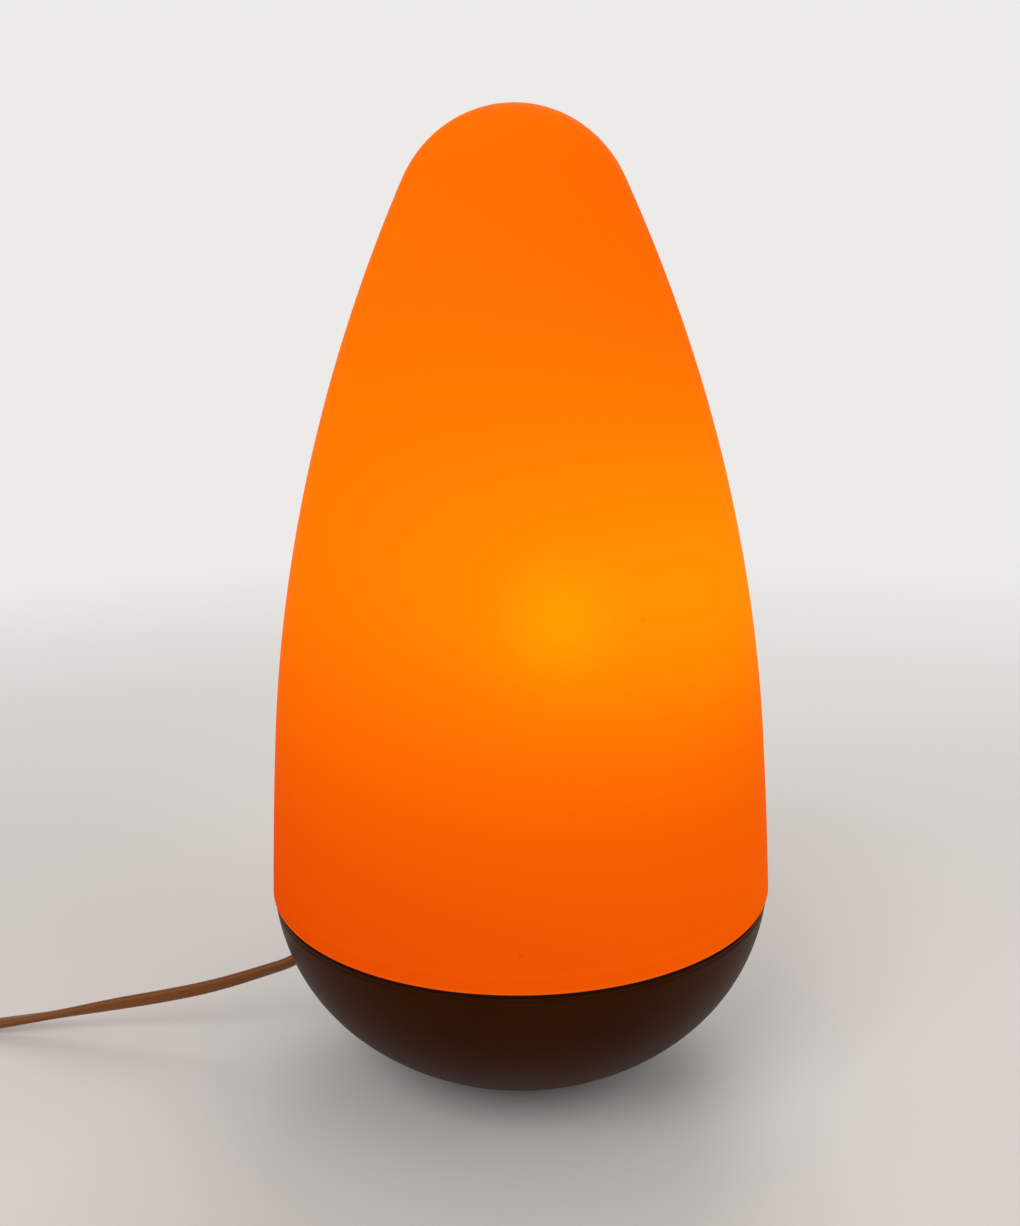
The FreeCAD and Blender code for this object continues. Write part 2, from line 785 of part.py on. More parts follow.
grip_screw_length = s.grip_strap + s.sheet_thickness * 2
group(
    "cord_grip_screws",
    [screw(f"grip_screw_{i}", -s.grip_place, y, ear_foot, grip_screw_length) for i, y in enumerate(grip_sides)],
)


# Round tubes along straight runs that are joined by tangent arcs, each as large as its runs allow
ARC_SHARE = 0.45


def rounded_route(points):
    """The wire through the runs, and the radii of the arcs that join them."""
    edges = []
    radii = []
    start = points[0]
    for before, corner, after in zip(points, points[1:], points[2:]):
        arriving = (corner - before).normalize()
        leaving = (after - corner).normalize()
        half_turn = arriving.getAngle(leaving) / 2
        reach = ARC_SHARE * min((corner - before).Length, (after - corner).Length)
        radius = reach / math.tan(half_turn)
        inward = (leaving - arriving).normalize()
        middle = corner + inward * (radius / math.cos(half_turn) - radius)
        first, last = corner - arriving * reach, corner + leaving * reach
        edges.append(Part.LineSegment(start, first).toShape())
        edges.append(Part.Arc(first, middle, last).toShape())
        radii.append(radius)
        start = last
    edges.append(Part.LineSegment(start, points[-1]).toShape())
    return Part.Wire(edges), radii


def tube_along(label, path, radius):
    """A round solid along a wire, as a piece of its own."""
    first = path.OrderedEdges[0]
    begin = first.firstVertex().Point
    circle = Part.Circle(begin, first.tangentAt(first.FirstParameter), radius)
    maker = Part.BRepOffsetAPI.MakePipeShell(path)
    maker.add(Part.Wire(circle.toShape()))
    maker.build()
    maker.makeSolid()
    made = doc.addObject("Part::Feature", label)
    made.Shape = maker.shape()
    expected = math.pi * radius * radius * path.Length
    print(f"{label}: length {path.Length:.1f}, volume {made.Shape.Volume / expected:.4f} of section x length")
    return keep(made, label)


def flex(label, points, radius):
    path, radii = rounded_route(points)
    print(f"{label}: radii {[round(r, 1) for r in radii]}")
    tube_along(label, path, radius)
    return path.Length


def at(*amounts):
    """A point in space from sizes or plain numbers."""
    return Vector(*(as_size(amount).value for amount in amounts))


flex_radius = s.flex_radius.value
out_cos, out_sin = cosine(s.exit_tilt), sine(s.exit_tilt)
grommet_end = at(exit_x - out_cos * s.grommet_nose, 0, exit_z - out_sin * s.grommet_nose)
climb = (flex_level - exit_z) / out_sin
flex("flex_inside", [
    grommet_end,
    at(exit_x + climb * out_cos, 0, flex_level),
    at(-s.inner_flex_end, 0, flex_level),
], flex_radius)

# The two cores go from the end of the flex through the slot and up the tube to the terminals
for name, side in (("lead_live", 1), ("lead_neutral", -1)):
    beside = s.lead_spacing / 2 * side
    flex(name, [
        at(-s.inner_flex_end, beside, flex_level),
        at(-s.thread_radius * 4.6, beside, flex_level),
        at(-s.thread_radius * 3.2, beside, slot_foot + s.slot_height * 0.22),
        at(-s.thread_radius * 1.2, beside, slot_foot + s.slot_height * 0.16),
        at(0, beside, slot_foot + s.slot_height * 0.66),
        at(0, beside, tube_top),
        at(0, s.terminal_spacing / 2 * side, (tube_top + insert_foot) / 2),
        at(0, s.terminal_spacing / 2 * side, insert_foot),
    ], s.lead_radius.value)

# Free flex: out of the grommet, down to the floor and along it to the switch
switch_near = -(s.switch_place - s.switch_length / 2)
switch_far = -(s.switch_place + s.switch_length / 2)
FREE_ROUTE = [
    (-96.7, 0.0, 34.7),
    (-108.0, 0.3, 30.9),
    (-120.0, 0.9, 26.7),
    (-134.0, 1.7, 22.4),
    (-152.0, 2.6, 18.3),
    (-174.0, 3.8, 14.0),
    (-198.0, 5.0, 9.2),
    (-222.0, 5.8, 5.4),
    (-243.0, 5.2, 3.4),
    (-259.0, 3.6, 3.2),
    (-272.0, 2.4, 4.9),
    (-284.0, 2.0, 8.0),
]
free_length = flex(
    "mains_flex",
    [grommet_end, *(at(*point) for point in FREE_ROUTE), at(switch_near, s.switch_offset, s.switch_split)],
    flex_radius,
)

# Switch: two shells screwed together from below, with a rocker on a pin and two blades
half_length, half_width = s.switch_length / 2, s.switch_width / 2
half_end = s.switch_end_width / 2
waist = half_length - s.switch_taper
switch_outline = [
    (-half_length, -half_end),
    (-waist, -half_width),
    (waist, -half_width),
    (half_length, -half_end),
    (half_length, half_end),
    (waist, half_width),
    (-waist, half_width),
    (-half_length, half_end),
]
switch_spot = {"x": -s.switch_place, "y": s.switch_offset}
screw_place = half_length - s.switch_screw_inset
switch_screws_x = [screw_place, -screw_place]
pivot_height = s.switch_height - s.pivot_depth


def switch_shell(label, bottom, top, rounded_level):
    """A shell of the switch from bottom to top, with its outer edge rounded at one level."""
    body = extruded(label, "XY_Plane", switch_outline, top - bottom)
    rounded_edges(body, s.switch_corner, lambda edge: upright(edge, half_length, half_length))
    rounded_edges(body, s.switch_flank, lambda edge: upright(edge, waist, waist))
    rounded_edges(body, s.switch_round, lambda edge: level(edge, rounded_level))
    place(body, z=(top + bottom) / 2, **switch_spot)
    return body


def switch_screw_holes(label, radius, bottom, height):
    return [
        cylinder(f"{label}_{i}", radius, height, x=x - s.switch_place, y=s.switch_offset, z=bottom)
        for i, x in enumerate(switch_screws_x)
    ]


room = (s.switch_length - s.switch_end_wall * 2, s.switch_width - s.switch_side_wall * 2)
lower_room = block("lower_room", *room, s.switch_split, *switch_spot.values(), s.switch_wall)
seat = s.switch_wall + s.screw_head_height
lower_half = s.switch_split / 2
keep(
    cut(
        "switch_lower",
        switch_shell("switch_lower_shell", as_size(0), s.switch_split, -lower_half),
        lower_room,
        *switch_screw_holes("lower_hole", screw_hole, as_size(0), s.switch_split),
        *switch_screw_holes("lower_sink", s.screw_head_radius + s.fit_gap, as_size(0), seat),
    ),
    "switch_lower",
)

upper_height = s.switch_height - s.switch_split
roof = s.switch_height - s.switch_wall
slot_length = s.rocker_length + s.rocker_gap * 2
slot_width = s.rocker_width + s.rocker_gap
upper_room = block("upper_room", *room, roof - s.switch_split, *switch_spot.values(), s.switch_split)
rocker_slot = block("rocker_slot", slot_length, slot_width, s.switch_height, *switch_spot.values(), s.switch_split)
upper_bored = cut(
    "switch_upper_bored",
    switch_shell("switch_upper_shell", s.switch_split, s.switch_height, upper_height / 2),
    upper_room,
    rocker_slot,
    *switch_screw_holes("upper_hole", screw_hole, s.switch_split, s.switch_split / 2),
)
lug_place = slot_width / 2 + s.lug_thickness / 2
lug_width = s.pivot_radius * 4
lug_foot = pivot_height - s.pivot_radius * 2
lugs = [
    block(f"lug_{i}", lug_width, s.lug_thickness, roof - lug_foot, -s.switch_place, s.switch_offset + y, lug_foot)
    for i, y in enumerate([lug_place, -lug_place])
]
pin_length = slot_width + s.lug_thickness * 2
pin_way = {"axis": Vector(1, 0, 0), "angle": as_size(-90)}
pin_spot = {"x": -s.switch_place, "y": s.switch_offset - pin_length / 2, "z": pivot_height}
pin_hole = cylinder("pin_hole", s.pivot_radius + s.fit_gap / 10, pin_length, **pin_spot, **pin_way)
keep(cut("switch_upper", fused("switch_upper_lugged", upper_bored, *lugs), pin_hole), "switch_upper")
keep(cylinder("switch_pin", s.pivot_radius, pin_length, **pin_spot, **pin_way), "switch_pin")

half_rocker = s.rocker_length / 2
rocker_corners = [
    (-half_rocker, s.pivot_radius),
    (-s.rocker_foot, -s.rocker_rise),
    (s.rocker_foot, -s.rocker_rise),
    (half_rocker, s.pivot_radius),
    (half_rocker, s.rocker_rise),
    (0, s.rocker_rise + s.rocker_crown),
    (-half_rocker, s.rocker_rise),
]
rocker = extruded("rocker_body", "XZ_Plane", rocker_corners, s.rocker_width)
place(rocker, z=pivot_height, **switch_spot, axis=Vector(0, 1, 0), angle=s.rocker_tilt)
rocker_bore = cylinder("rocker_bore", s.pivot_radius + s.pivot_gap, pin_length, **pin_spot, **pin_way)
keep(cut("switch_rocker", rocker, rocker_bore), "switch_rocker")

blade_sides = [s.blade_spacing / 2, -(s.blade_spacing / 2)]
group(
    "switch_blades",
    [
        block(f"blade_{i}", s.blade_length, s.blade_width, s.blade_thickness, -s.switch_place,
              s.switch_offset + y, s.switch_wall)
        for i, y in enumerate(blade_sides)
    ],
)
switch_screw_length = s.switch_split * 1.5 - seat
group(
    "switch_screws",
    [
        screw(f"switch_screw_{i}", x - s.switch_place, s.switch_offset, seat, switch_screw_length)
        for i, x in enumerate(switch_screws_x)
    ],
)


# Coil: one tube wound in along the floor, up half a turn and out again on top of itself
coil_middle = at(-s.coil_place, -s.coil_offset, 0)
turns = TURNS_IN + TURNS_UP + TURNS_OUT
coil_pitch = s.flex_radius * 2 + s.coil_gap
coil_floor = s.coil_lift.value + flex_radius


def coil_point(turn):
    """A point of the wound line, counted in turns from where the flex comes in."""
    reversal = TURNS_IN + TURNS_UP / 2
    inward = min(turn, reversal)
    outward = max(turn - reversal, 0.0)
    radius = s.coil_inner_radius.value + coil_pitch.value * (TURNS_IN - inward + outward)
    up = min(max((turn - TURNS_IN) / TURNS_UP, 0.0), 1.0)
    height = coil_floor + coil_pitch.value * up * up * (3 - 2 * up)
    angle = math.pi + 2 * math.pi * turn
    return coil_middle + Vector(radius * math.cos(angle), radius * math.sin(angle), height)


def coil_heading(turn):
    """The direction of the wound line; both ends run square to their radius."""
    if turn in (0.0, turns):
        angle = math.pi + 2 * math.pi * turn
        return Vector(-math.sin(angle), math.cos(angle), 0)
    step = 0.02
    return (coil_point(turn + step) - coil_point(turn - step)).normalize()


def tangent_arc(start, heading, end):
    """The arc from start, along heading, to end."""
    chord = end - start
    angle = heading.getAngle(chord)
    side = (heading - chord * (heading.dot(chord) / chord.dot(chord))).normalize()
    middle = (start + end) / 2 + side * (chord.Length / 2 * math.tan(angle / 2))
    return Part.Arc(start, middle, end).toShape()


def biarc(start, heading, end, leaving):
    """Two arcs that join start to end and keep the heading at both."""
    span = end - start
    a = 2 * (1 - heading.dot(leaving))
    b = 2 * span.dot(heading + leaving)
    reach = (math.sqrt(b * b + 4 * a * span.dot(span)) - b) / (2 * a)
    middle = (start + heading * reach + end - leaving * reach) / 2
    return [tangent_arc(start, heading, middle), tangent_arc(end, leaving * -1, middle)]


quarters = [i / 4 for i in range(int(turns * 4) + 1)]
coil_start = coil_point(0.0) - coil_heading(0.0) * 2 * flex_radius
coil_end = coil_point(turns) + coil_heading(turns) * 2 * flex_radius
coil_edges = [Part.LineSegment(coil_start, coil_point(0.0)).toShape()]
for begin, finish in zip(quarters, quarters[1:]):
    coil_edges += biarc(coil_point(begin), coil_heading(begin), coil_point(finish), coil_heading(finish))
coil_edges.append(Part.LineSegment(coil_point(turns), coil_end).toShape())
coil_path = Part.Wire(coil_edges)
tube_along("flex_coil", coil_path, flex_radius)

COIL_SAMPLES = 600
coil_samples = [coil_point(turns * i / COIL_SAMPLES) for i in range(COIL_SAMPLES + 1)]
apart = int(COIL_SAMPLES / turns / 2)
least = min(
    spot.distanceToPoint(other)
    for i, spot in enumerate(coil_samples)
    for other in coil_samples[i + apart:]
)
print(f"flex_coil: least gap to itself {least - 2 * flex_radius:.2f}")

# The flex from the switch into the coil, and from the coil to the plug
INTO_COIL = [
    (-367.0, 2.0, 8.0),
    (-379.5, -0.9, 6.2),
    (-389.5, -8.4, 4.7),
    (-396.0, -18.4, 3.9),
    (-399.4, -30.4, 3.7),
]
coil_lead = coil_start - coil_heading(0.0) * 3 * flex_radius
into_length = flex(
    "flex_to_coil",
    [
        at(switch_far, s.switch_offset, s.switch_split),
        *(at(*point) for point in INTO_COIL),
        coil_lead,
        coil_start,
    ],
    flex_radius,
)

boot_tip = at(-s.plug_place, 0, s.plug_thickness / 2)
boot_tip.y = coil_end.y
OUT_OF_COIL = [(10.0, 0.0, 0.0), (22.0, 0.2, -1.4), (34.0, 0.0, -3.0)]
out_length = flex(
    "flex_to_plug",
    [coil_end, *(coil_end + Vector(*step) for step in OUT_OF_COIL), boot_tip],
    flex_radius,
)
total = free_length + s.switch_length.value + into_length + coil_path.Length + out_length
print(f"flex from the grommet to the plug: {total:.0f}")

# Tie: a band round the turns, flat on the floor under them
coil_outer = s.coil_inner_radius + coil_pitch * (TURNS_IN - 0.5)
tie_inside = s.coil_inner_radius - s.flex_radius - s.tie_gap * 4
tie_outside = coil_outer + s.flex_radius + s.tie_gap * 2
tie_roof = s.coil_lift + s.flex_radius * 2 + coil_pitch + s.tie_gap
tie_floor = s.coil_lift - s.tie_gap
tie_middle = (tie_inside + tie_outside) / 2 - s.coil_place
tie_hole = block(
    "tie_hole",
    tie_outside - tie_inside,
    s.tie_width * 2,
    tie_roof - tie_floor,
    tie_middle,
    -s.coil_offset,
    tie_floor,
)
tie_band = block(
    "tie_band",
    tie_outside - tie_inside + s.tie_thickness * 2,
    s.tie_width,
    tie_roof - tie_floor + s.tie_thickness * 2,
    tie_middle,
    -s.coil_offset,
    tie_floor - s.tie_thickness,
)
keep(cut("flex_tie", tie_band, tie_hole), "flex_tie")

# Plug: flat moulded body that widens to the pins, with a tapered boot on the flex
plug_end = s.plug_boot_length + s.plug_length
half_waist, half_plug = s.plug_waist / 2, s.plug_width / 2
plug_taper_end = s.plug_boot_length + s.plug_taper
plug_outline = [
    (s.plug_boot_length, -half_waist),
    (plug_taper_end, -half_plug),
    (plug_end, -half_plug),
    (plug_end, half_plug),
    (plug_taper_end, half_plug),
    (s.plug_boot_length, half_waist),
]
plug_spot = {"x": -s.plug_place, "y": boot_tip.y, "z": s.plug_thickness / 2}
plug_flat = extruded("plug_flat", "XY_Plane", plug_outline, s.plug_thickness)
half_thick = s.plug_thickness / 2
rounded_edges(
    plug_flat,
    s.plug_corner,
    lambda edge: upright(edge, plug_end, plug_end) or upright(edge, s.plug_boot_length, s.plug_boot_length),
)
rounded_edges(plug_flat, s.plug_flank, lambda edge: upright(edge, plug_taper_end, plug_taper_end))
rounded_edges(plug_flat, s.plug_round, lambda edge: level(edge, half_thick) or level(edge, -half_thick))
place(plug_flat, **plug_spot)
boot = doc.addObject("Part::Cone", "plug_boot")
bind(boot, "Radius1", s.flex_radius + s.grip_strap)
bind(boot, "Radius2", s.plug_boot_radius)
bind(boot, "Height", s.plug_boot_length + s.plug_round)
place(boot, **plug_spot, axis=Vector(0, 1, 0), angle=as_size(90))
keep(fused("plug_body", plug_flat, boot), "plug_body")
group(
    "plug_pins",
    [
        cylinder(
            f"plug_pin_{i}",
            s.pin_radius,
            s.pin_length,
            x=plug_end - s.plug_place,
            y=y + boot_tip.y,
            z=s.plug_thickness / 2,
            axis=Vector(0, 1, 0),
            angle=as_size(90),
        )
        for i, y in enumerate([s.pin_spacing / 2, -(s.pin_spacing / 2)])
    ],
)

doc.recompute()
failed = [thing.Label for thing in doc.Objects if {"Invalid", "Error"} & set(thing.State)]
failed += [piece.Label for piece in pieces if piece.Shape.isNull() or not piece.Shape.isValid()]
if failed:
    raise RuntimeError(f"these pieces failed: {failed}")
os.makedirs("parts", exist_ok=True)
for piece in pieces:
    piece.Shape.exportStep(f"parts/{piece.Label}.step")
print(f"{len(pieces)} pieces written")
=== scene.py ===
"""Egg lamp: a lit orange glass egg on a dark bowl, with its flex, switch and plug.

Metres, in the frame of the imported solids: +Z is up, -Y faces the viewer and the flex leaves at -X.
"""

import math

import bmesh
import bpy
from mathutils import Matrix, Vector


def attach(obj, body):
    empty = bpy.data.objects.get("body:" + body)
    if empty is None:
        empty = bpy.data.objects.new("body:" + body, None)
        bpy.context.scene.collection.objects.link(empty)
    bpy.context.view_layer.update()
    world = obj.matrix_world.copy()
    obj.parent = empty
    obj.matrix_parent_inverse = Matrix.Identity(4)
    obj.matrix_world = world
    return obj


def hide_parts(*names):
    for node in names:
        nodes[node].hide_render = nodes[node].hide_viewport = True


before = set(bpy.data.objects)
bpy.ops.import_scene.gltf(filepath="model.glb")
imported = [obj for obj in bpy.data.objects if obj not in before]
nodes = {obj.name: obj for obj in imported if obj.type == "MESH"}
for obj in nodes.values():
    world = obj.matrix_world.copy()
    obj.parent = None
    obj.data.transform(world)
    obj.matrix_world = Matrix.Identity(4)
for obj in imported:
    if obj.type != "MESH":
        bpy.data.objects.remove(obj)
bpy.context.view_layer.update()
scene = bpy.context.scene
scene.view_settings.view_transform = "Standard"


# View: the photograph was taken close to the lamp, a little above its middle and looking down,
# with the camera turned by less than a degree about its own axis.
VIEW_PIXELS = (1020, 1226)
VIEW_FOCAL_PIXELS = 1202.4
VIEW_PITCH = 0.2163
VIEW_ROLL = -0.0114
VIEW_PLACE = (-0.00305, -0.4617, 0.28517)
VIEW_SENSOR = 36.0
VIEW_NEAREST = 0.01
camera_data = bpy.data.cameras.new("photo_view")
camera_data.sensor_width = VIEW_SENSOR
camera_data.lens = VIEW_SENSOR * VIEW_FOCAL_PIXELS / max(VIEW_PIXELS)
camera_data.clip_start = VIEW_NEAREST
camera = bpy.data.objects.new("photo_view", camera_data)
scene.collection.objects.link(camera)
ahead = Vector((0, math.cos(VIEW_PITCH), -math.sin(VIEW_PITCH)))
upright = Vector((0, math.sin(VIEW_PITCH), math.cos(VIEW_PITCH)))
level = Vector((1, 0, 0))
view_right = level * math.cos(VIEW_ROLL) + upright * math.sin(VIEW_ROLL)
view_up = upright * math.cos(VIEW_ROLL) - level * math.sin(VIEW_ROLL)
turned_view = Matrix((view_right, view_up, -ahead)).transposed().to_4x4()
camera.matrix_world = Matrix.Translation(VIEW_PLACE) @ turned_view
scene.camera = camera


# Stage: a plain pale floor and an even pale surround, with broad soft lamps at a plain level.
# The floor takes the shadow of the lamp and the orange glow of its glass.
def new_material(name):
    """A new material, with its tree and its shader."""
    material = bpy.data.materials.new(name)
    material.use_nodes = True
    shader = material.node_tree.nodes["Principled BSDF"]
    return material, material.node_tree, shader


def add(tree, kind, settings=None, **inputs):
    """A node of a kind. Inputs are named with _ for a space, as numbers or as sockets to link."""
    made = tree.nodes.new(kind)
    for name, value in (settings or {}).items():
        setattr(made, name, value)
    for name, value in inputs.items():
        place = int(name[1:]) if name[1:].isdigit() else name.replace("_", " ")
        if isinstance(value, bpy.types.NodeSocket):
            tree.links.new(value, made.inputs[place])
        else:
            made.inputs[place].default_value = value
    return made


def maths(tree, operation, *values):
    """A Math node's result."""
    given = {f"i{i}": value for i, value in enumerate(values)}
    return add(tree, "ShaderNodeMath", {"operation": operation}, **given).outputs[0]


def vectors(tree, operation, *values, out=0):
    """A Vector Math node's result; out 1 is its number."""
    given = {f"i{i}": value for i, value in enumerate(values)}
    return add(tree, "ShaderNodeVectorMath", {"operation": operation}, **given).outputs[out]


def eased(tree, value, first, last, start=0.0, end=1.0):
    """A number that eases from start to end as a value goes from first to last."""
    return add(tree, "ShaderNodeMapRange", {"interpolation_type": "SMOOTHSTEP"}, Value=value,
               From_Min=first, From_Max=last, To_Min=start, To_Max=end).outputs[0]


def piece_spot(tree):
    """The place on a piece, in metres in the frame of the part."""
    return add(tree, "ShaderNodeTexCoord").outputs["Object"]


def finish(shader, **values):
    """Sets plain values of a shader, named with _ for a space."""
    for name, value in values.items():
        shader.inputs[name.replace("_", " ")].default_value = value


def seen_share(tree):
    """One where the view sees the stage, also in metal and glass, and zero for its light."""
    path = add(tree, "ShaderNodeLightPath").outputs
    seen = maths(tree, "MAXIMUM", path["Is Camera Ray"], path["Is Glossy Ray"])
    return maths(tree, "MAXIMUM", seen, path["Is Transmission Ray"])


FLOOR_COLOUR = (0.78, 0.76, 0.73)
FLOOR_ROUGHNESS = 0.55
FLOOR_REACH = 6.0
FLOOR_CORNERS = ((-1, -1), (1, -1), (1, 1), (-1, 1))
BACKDROP_COLOUR = (0.84, 0.83, 0.81)
FADE_START, FADE_END = 0.35, 1.3
floor_mesh = bpy.data.meshes.new("floor")
floor_mesh.from_pydata(
    [(x * FLOOR_REACH, y * FLOOR_REACH, 0) for x, y in FLOOR_CORNERS], [], [(0, 1, 2, 3)]
)
floor = bpy.data.objects.new("floor", floor_mesh)
scene.collection.objects.link(floor)
floor_paint, tree, shader = new_material("floor_paint")
finish(shader, Base_Color=(*FLOOR_COLOUR, 1), Roughness=FLOOR_ROUGHNESS)
away = vectors(tree, "LENGTH", piece_spot(tree), out=1)
faded = maths(tree, "MULTIPLY", eased(tree, away, FADE_START, FADE_END), seen_share(tree))
far_floor = add(tree, "ShaderNodeEmission", Color=(*BACKDROP_COLOUR, 1), Strength=1.0)
blended = add(tree, "ShaderNodeMixShader", Fac=faded, i1=shader.outputs[0], i2=far_floor.outputs[0])
tree.links.new(blended.outputs[0], tree.nodes["Material Output"].inputs["Surface"])
floor_mesh.materials.append(floor_paint)

SURROUND_LIGHT, SURROUND_SHOWN = 0.45, 1.0
world = bpy.data.worlds.new("studio")
scene.world = world
world.use_nodes = True
tree = world.node_tree
backdrop = tree.nodes["Background"]
backdrop.inputs["Color"].default_value = (*BACKDROP_COLOUR, 1)
strength = add(tree, "ShaderNodeMix", {"data_type": "FLOAT"}, Factor=seen_share(tree),
               A=SURROUND_LIGHT, B=SURROUND_SHOWN)
tree.links.new(strength.outputs[0], backdrop.inputs["Strength"])

LAMP_TARGET = (0.0, 0.0, 0.15)


def soft_lamp(name, place, size, power):
    """A square area lamp that looks at the middle of the object."""
    data = bpy.data.lights.new(name, "AREA")
    data.shape = "SQUARE"
    data.size = size
    data.energy = power
    lamp = bpy.data.objects.new(name, data)
    lamp.location = place
    lamp.rotation_euler = (Vector(LAMP_TARGET) - Vector(place)).to_track_quat("-Z", "Y").to_euler()
    scene.collection.objects.link(lamp)


soft_lamp("key_lamp", place=(-0.9, -1.3, 1.5), size=1.2, power=16)
soft_lamp("fill_lamp", place=(1.4, -0.8, 1.0), size=1.4, power=8)
soft_lamp("back_lamp", place=(0.3, 1.6, 1.3), size=1.2, power=10)


# Foot pad: a disc of pressed black felt that keeps the lamp from marking the table. It is glued
# under the bowl.
def noise(tree, spot, scale, detail, roughness=0.5):
    """A cloudy pattern of so many lumps a metre."""
    return add(tree, "ShaderNodeTexNoise", Vector=spot, Scale=scale, Detail=detail,
               Roughness=roughness).outputs["Fac"]


def two_tone(tree, amount, low, dark, high, light):
    """A colour that goes from dark to light as an amount goes from low to high."""
    ramp = add(tree, "ShaderNodeValToRGB", Fac=amount)
    for stop, place, colour in zip(ramp.color_ramp.elements, (low, high), (dark, light)):
        stop.position = place
        stop.color = (*colour, 1)
    return ramp.outputs[0]


def emboss(tree, shader, height, strength, distance):
    """Roughens a surface by a pattern of heights."""
    bump = add(tree, "ShaderNodeBump", Strength=strength, Distance=distance, Height=height)
    tree.links.new(bump.outputs[0], shader.inputs["Normal"])


def dress(material, *names):
    """Gives carried-over solids their finish."""
    for name in names:
        for slot in nodes[name].material_slots:
            slot.material = material


FELT_DARK, FELT_LIGHT = (0.010, 0.010, 0.010), (0.040, 0.038, 0.036)
FELT_FIBRES = 1300.0
felt, tree, shader = new_material("black_felt")
fibres = noise(tree, piece_spot(tree), FELT_FIBRES, detail=4.0, roughness=0.7)
felt_tone = two_tone(tree, fibres, 0.3, FELT_DARK, 0.7, FELT_LIGHT)
tree.links.new(felt_tone, shader.inputs["Base Color"])
emboss(tree, shader, fibres, strength=0.6, distance=0.0004)
finish(shader, Roughness=0.95, Sheen_Weight=0.25)
dress(felt, "foot_pad")


# Bowl: spun or pressed metal bowl with satin paint, clamped to its weight by the lamp tube. Its rim
# carries the plate that the glass stands on. Its near-black red-brown is painted shade and painted
# orange glow, and its sheen is tinted as a painted reflection of that glow.
def turned_tree():
    """Geometry nodes that turn a profile, a row of points (radius, 0, height), about Z."""
    tree = bpy.data.node_groups.new("turned_about_z", "GeometryNodeTree")
    face = tree.interface
    face.new_socket("Profile", in_out="INPUT", socket_type="NodeSocketGeometry")
    face.new_socket("Segments", in_out="INPUT", socket_type="NodeSocketInt")
    face.new_socket("Profile Points", in_out="INPUT", socket_type="NodeSocketInt")
    face.new_socket("Finish", in_out="INPUT", socket_type="NodeSocketMaterial")
    face.new_socket("Turned", in_out="OUTPUT", socket_type="NodeSocketGeometry")
    given = tree.nodes.new("NodeGroupInput").outputs
    columns = maths(tree, "ADD", given["Segments"], 1.0)
    grid = add(tree, "GeometryNodeMeshGrid", Size_X=1.0, Size_Y=1.0,
               Vertices_X=columns, Vertices_Y=given["Profile Points"])
    here = add(tree, "GeometryNodeInputPosition").outputs[0]
    spot = add(tree, "ShaderNodeSeparateXYZ", Vector=here).outputs
    angle = maths(tree, "MULTIPLY", maths(tree, "ADD", spot["X"], 0.5), 2 * math.pi)
    rows = maths(tree, "SUBTRACT", given["Profile Points"], 1.0)
    row = maths(tree, "MULTIPLY", maths(tree, "ADD", spot["Y"], 0.5), rows)
    sample = add(tree, "GeometryNodeSampleIndex", {"data_type": "FLOAT_VECTOR", "domain": "POINT"},
                 Geometry=given["Profile"], Index=maths(tree, "ROUND", row), Value=here)
    corner = add(tree, "ShaderNodeSeparateXYZ", Vector=sample.outputs[0]).outputs
    place = add(tree, "ShaderNodeCombineXYZ",
                X=maths(tree, "MULTIPLY", corner["X"], maths(tree, "COSINE", angle)),
                Y=maths(tree, "MULTIPLY", corner["X"], maths(tree, "SINE", angle)),
                Z=corner["Z"])
    moved = add(tree, "GeometryNodeSetPosition", Geometry=grid.outputs["Mesh"],
                Position=place.outputs[0])
    merged = add(tree, "GeometryNodeMergeByDistance", Geometry=moved.outputs[0], Distance=1e-6)
    whole = add(tree, "GeometryNodeRealizeInstances", Geometry=merged.outputs[0])
    finished = add(tree, "GeometryNodeSetMaterial", Geometry=whole.outputs[0],
                   Material=given["Finish"])
    out = tree.nodes.new("NodeGroupOutput")
    tree.links.new(finished.outputs[0], out.inputs["Turned"])
    return tree


def plain_mesh(thing):
    """A copy of the mesh that an object's modifiers or its curve make."""
    ready = thing.evaluated_get(bpy.context.evaluated_depsgraph_get())
    return bpy.data.meshes.new_from_object(ready)


def applied(name, points, tree, values):
    """The plain mesh that a tree makes from points, with its inputs set by name."""
    row = bpy.data.meshes.new(f"{name}_points")
    row.from_pydata(points, [], [])
    holder = bpy.data.objects.new(f"{name}_points", row)
    scene.collection.objects.link(holder)
    modifier = holder.modifiers.new("nodes", "NODES")
    modifier.node_group = tree
    for socket in tree.interface.items_tree:
        if socket.in_out == "INPUT" and socket.name in values:
            modifier[socket.identifier] = values[socket.name]
    mesh = plain_mesh(holder)
    mesh.name = name
    bpy.data.objects.remove(holder)
    bpy.data.meshes.remove(row)
    return mesh


turned_shape = turned_tree()
TURNED_SEGMENTS = 256


def new_piece(name, mesh, material):
    """A piece at the origin with smooth faces and one material."""
    piece = bpy.data.objects.new(name, mesh)
    scene.collection.objects.link(piece)
    mesh.materials.clear()
    mesh.materials.append(material)
    for face in mesh.polygons:
        face.use_smooth = True
    return piece


def turned(name, profile, material):
    """A smooth piece turned about Z from a row of (radius, height) points in millimetres."""
    points = [(r / 1000, 0, z / 1000) for r, z in profile]
    values = {"Segments": TURNED_SEGMENTS, "Profile Points": len(profile), "Finish": material}
    mesh = applied(name, points, turned_shape, values)
    bm = bmesh.new()
    bm.from_mesh(mesh)
    bmesh.ops.recalc_face_normals(bm, faces=bm.faces)
    bm.to_mesh(mesh)
    bm.free()
    return new_piece(name, mesh, material)


def heading(angle):
    """The way that an angle in degrees points, as (outwards, up)."""
    return (math.cos(math.radians(angle)), math.sin(math.radians(angle)))


def offset(spot, way, distance):
    """A point (radius, height) moved by a distance along a way."""
    return (spot[0] + distance * way[0], spot[1] + distance * way[1])


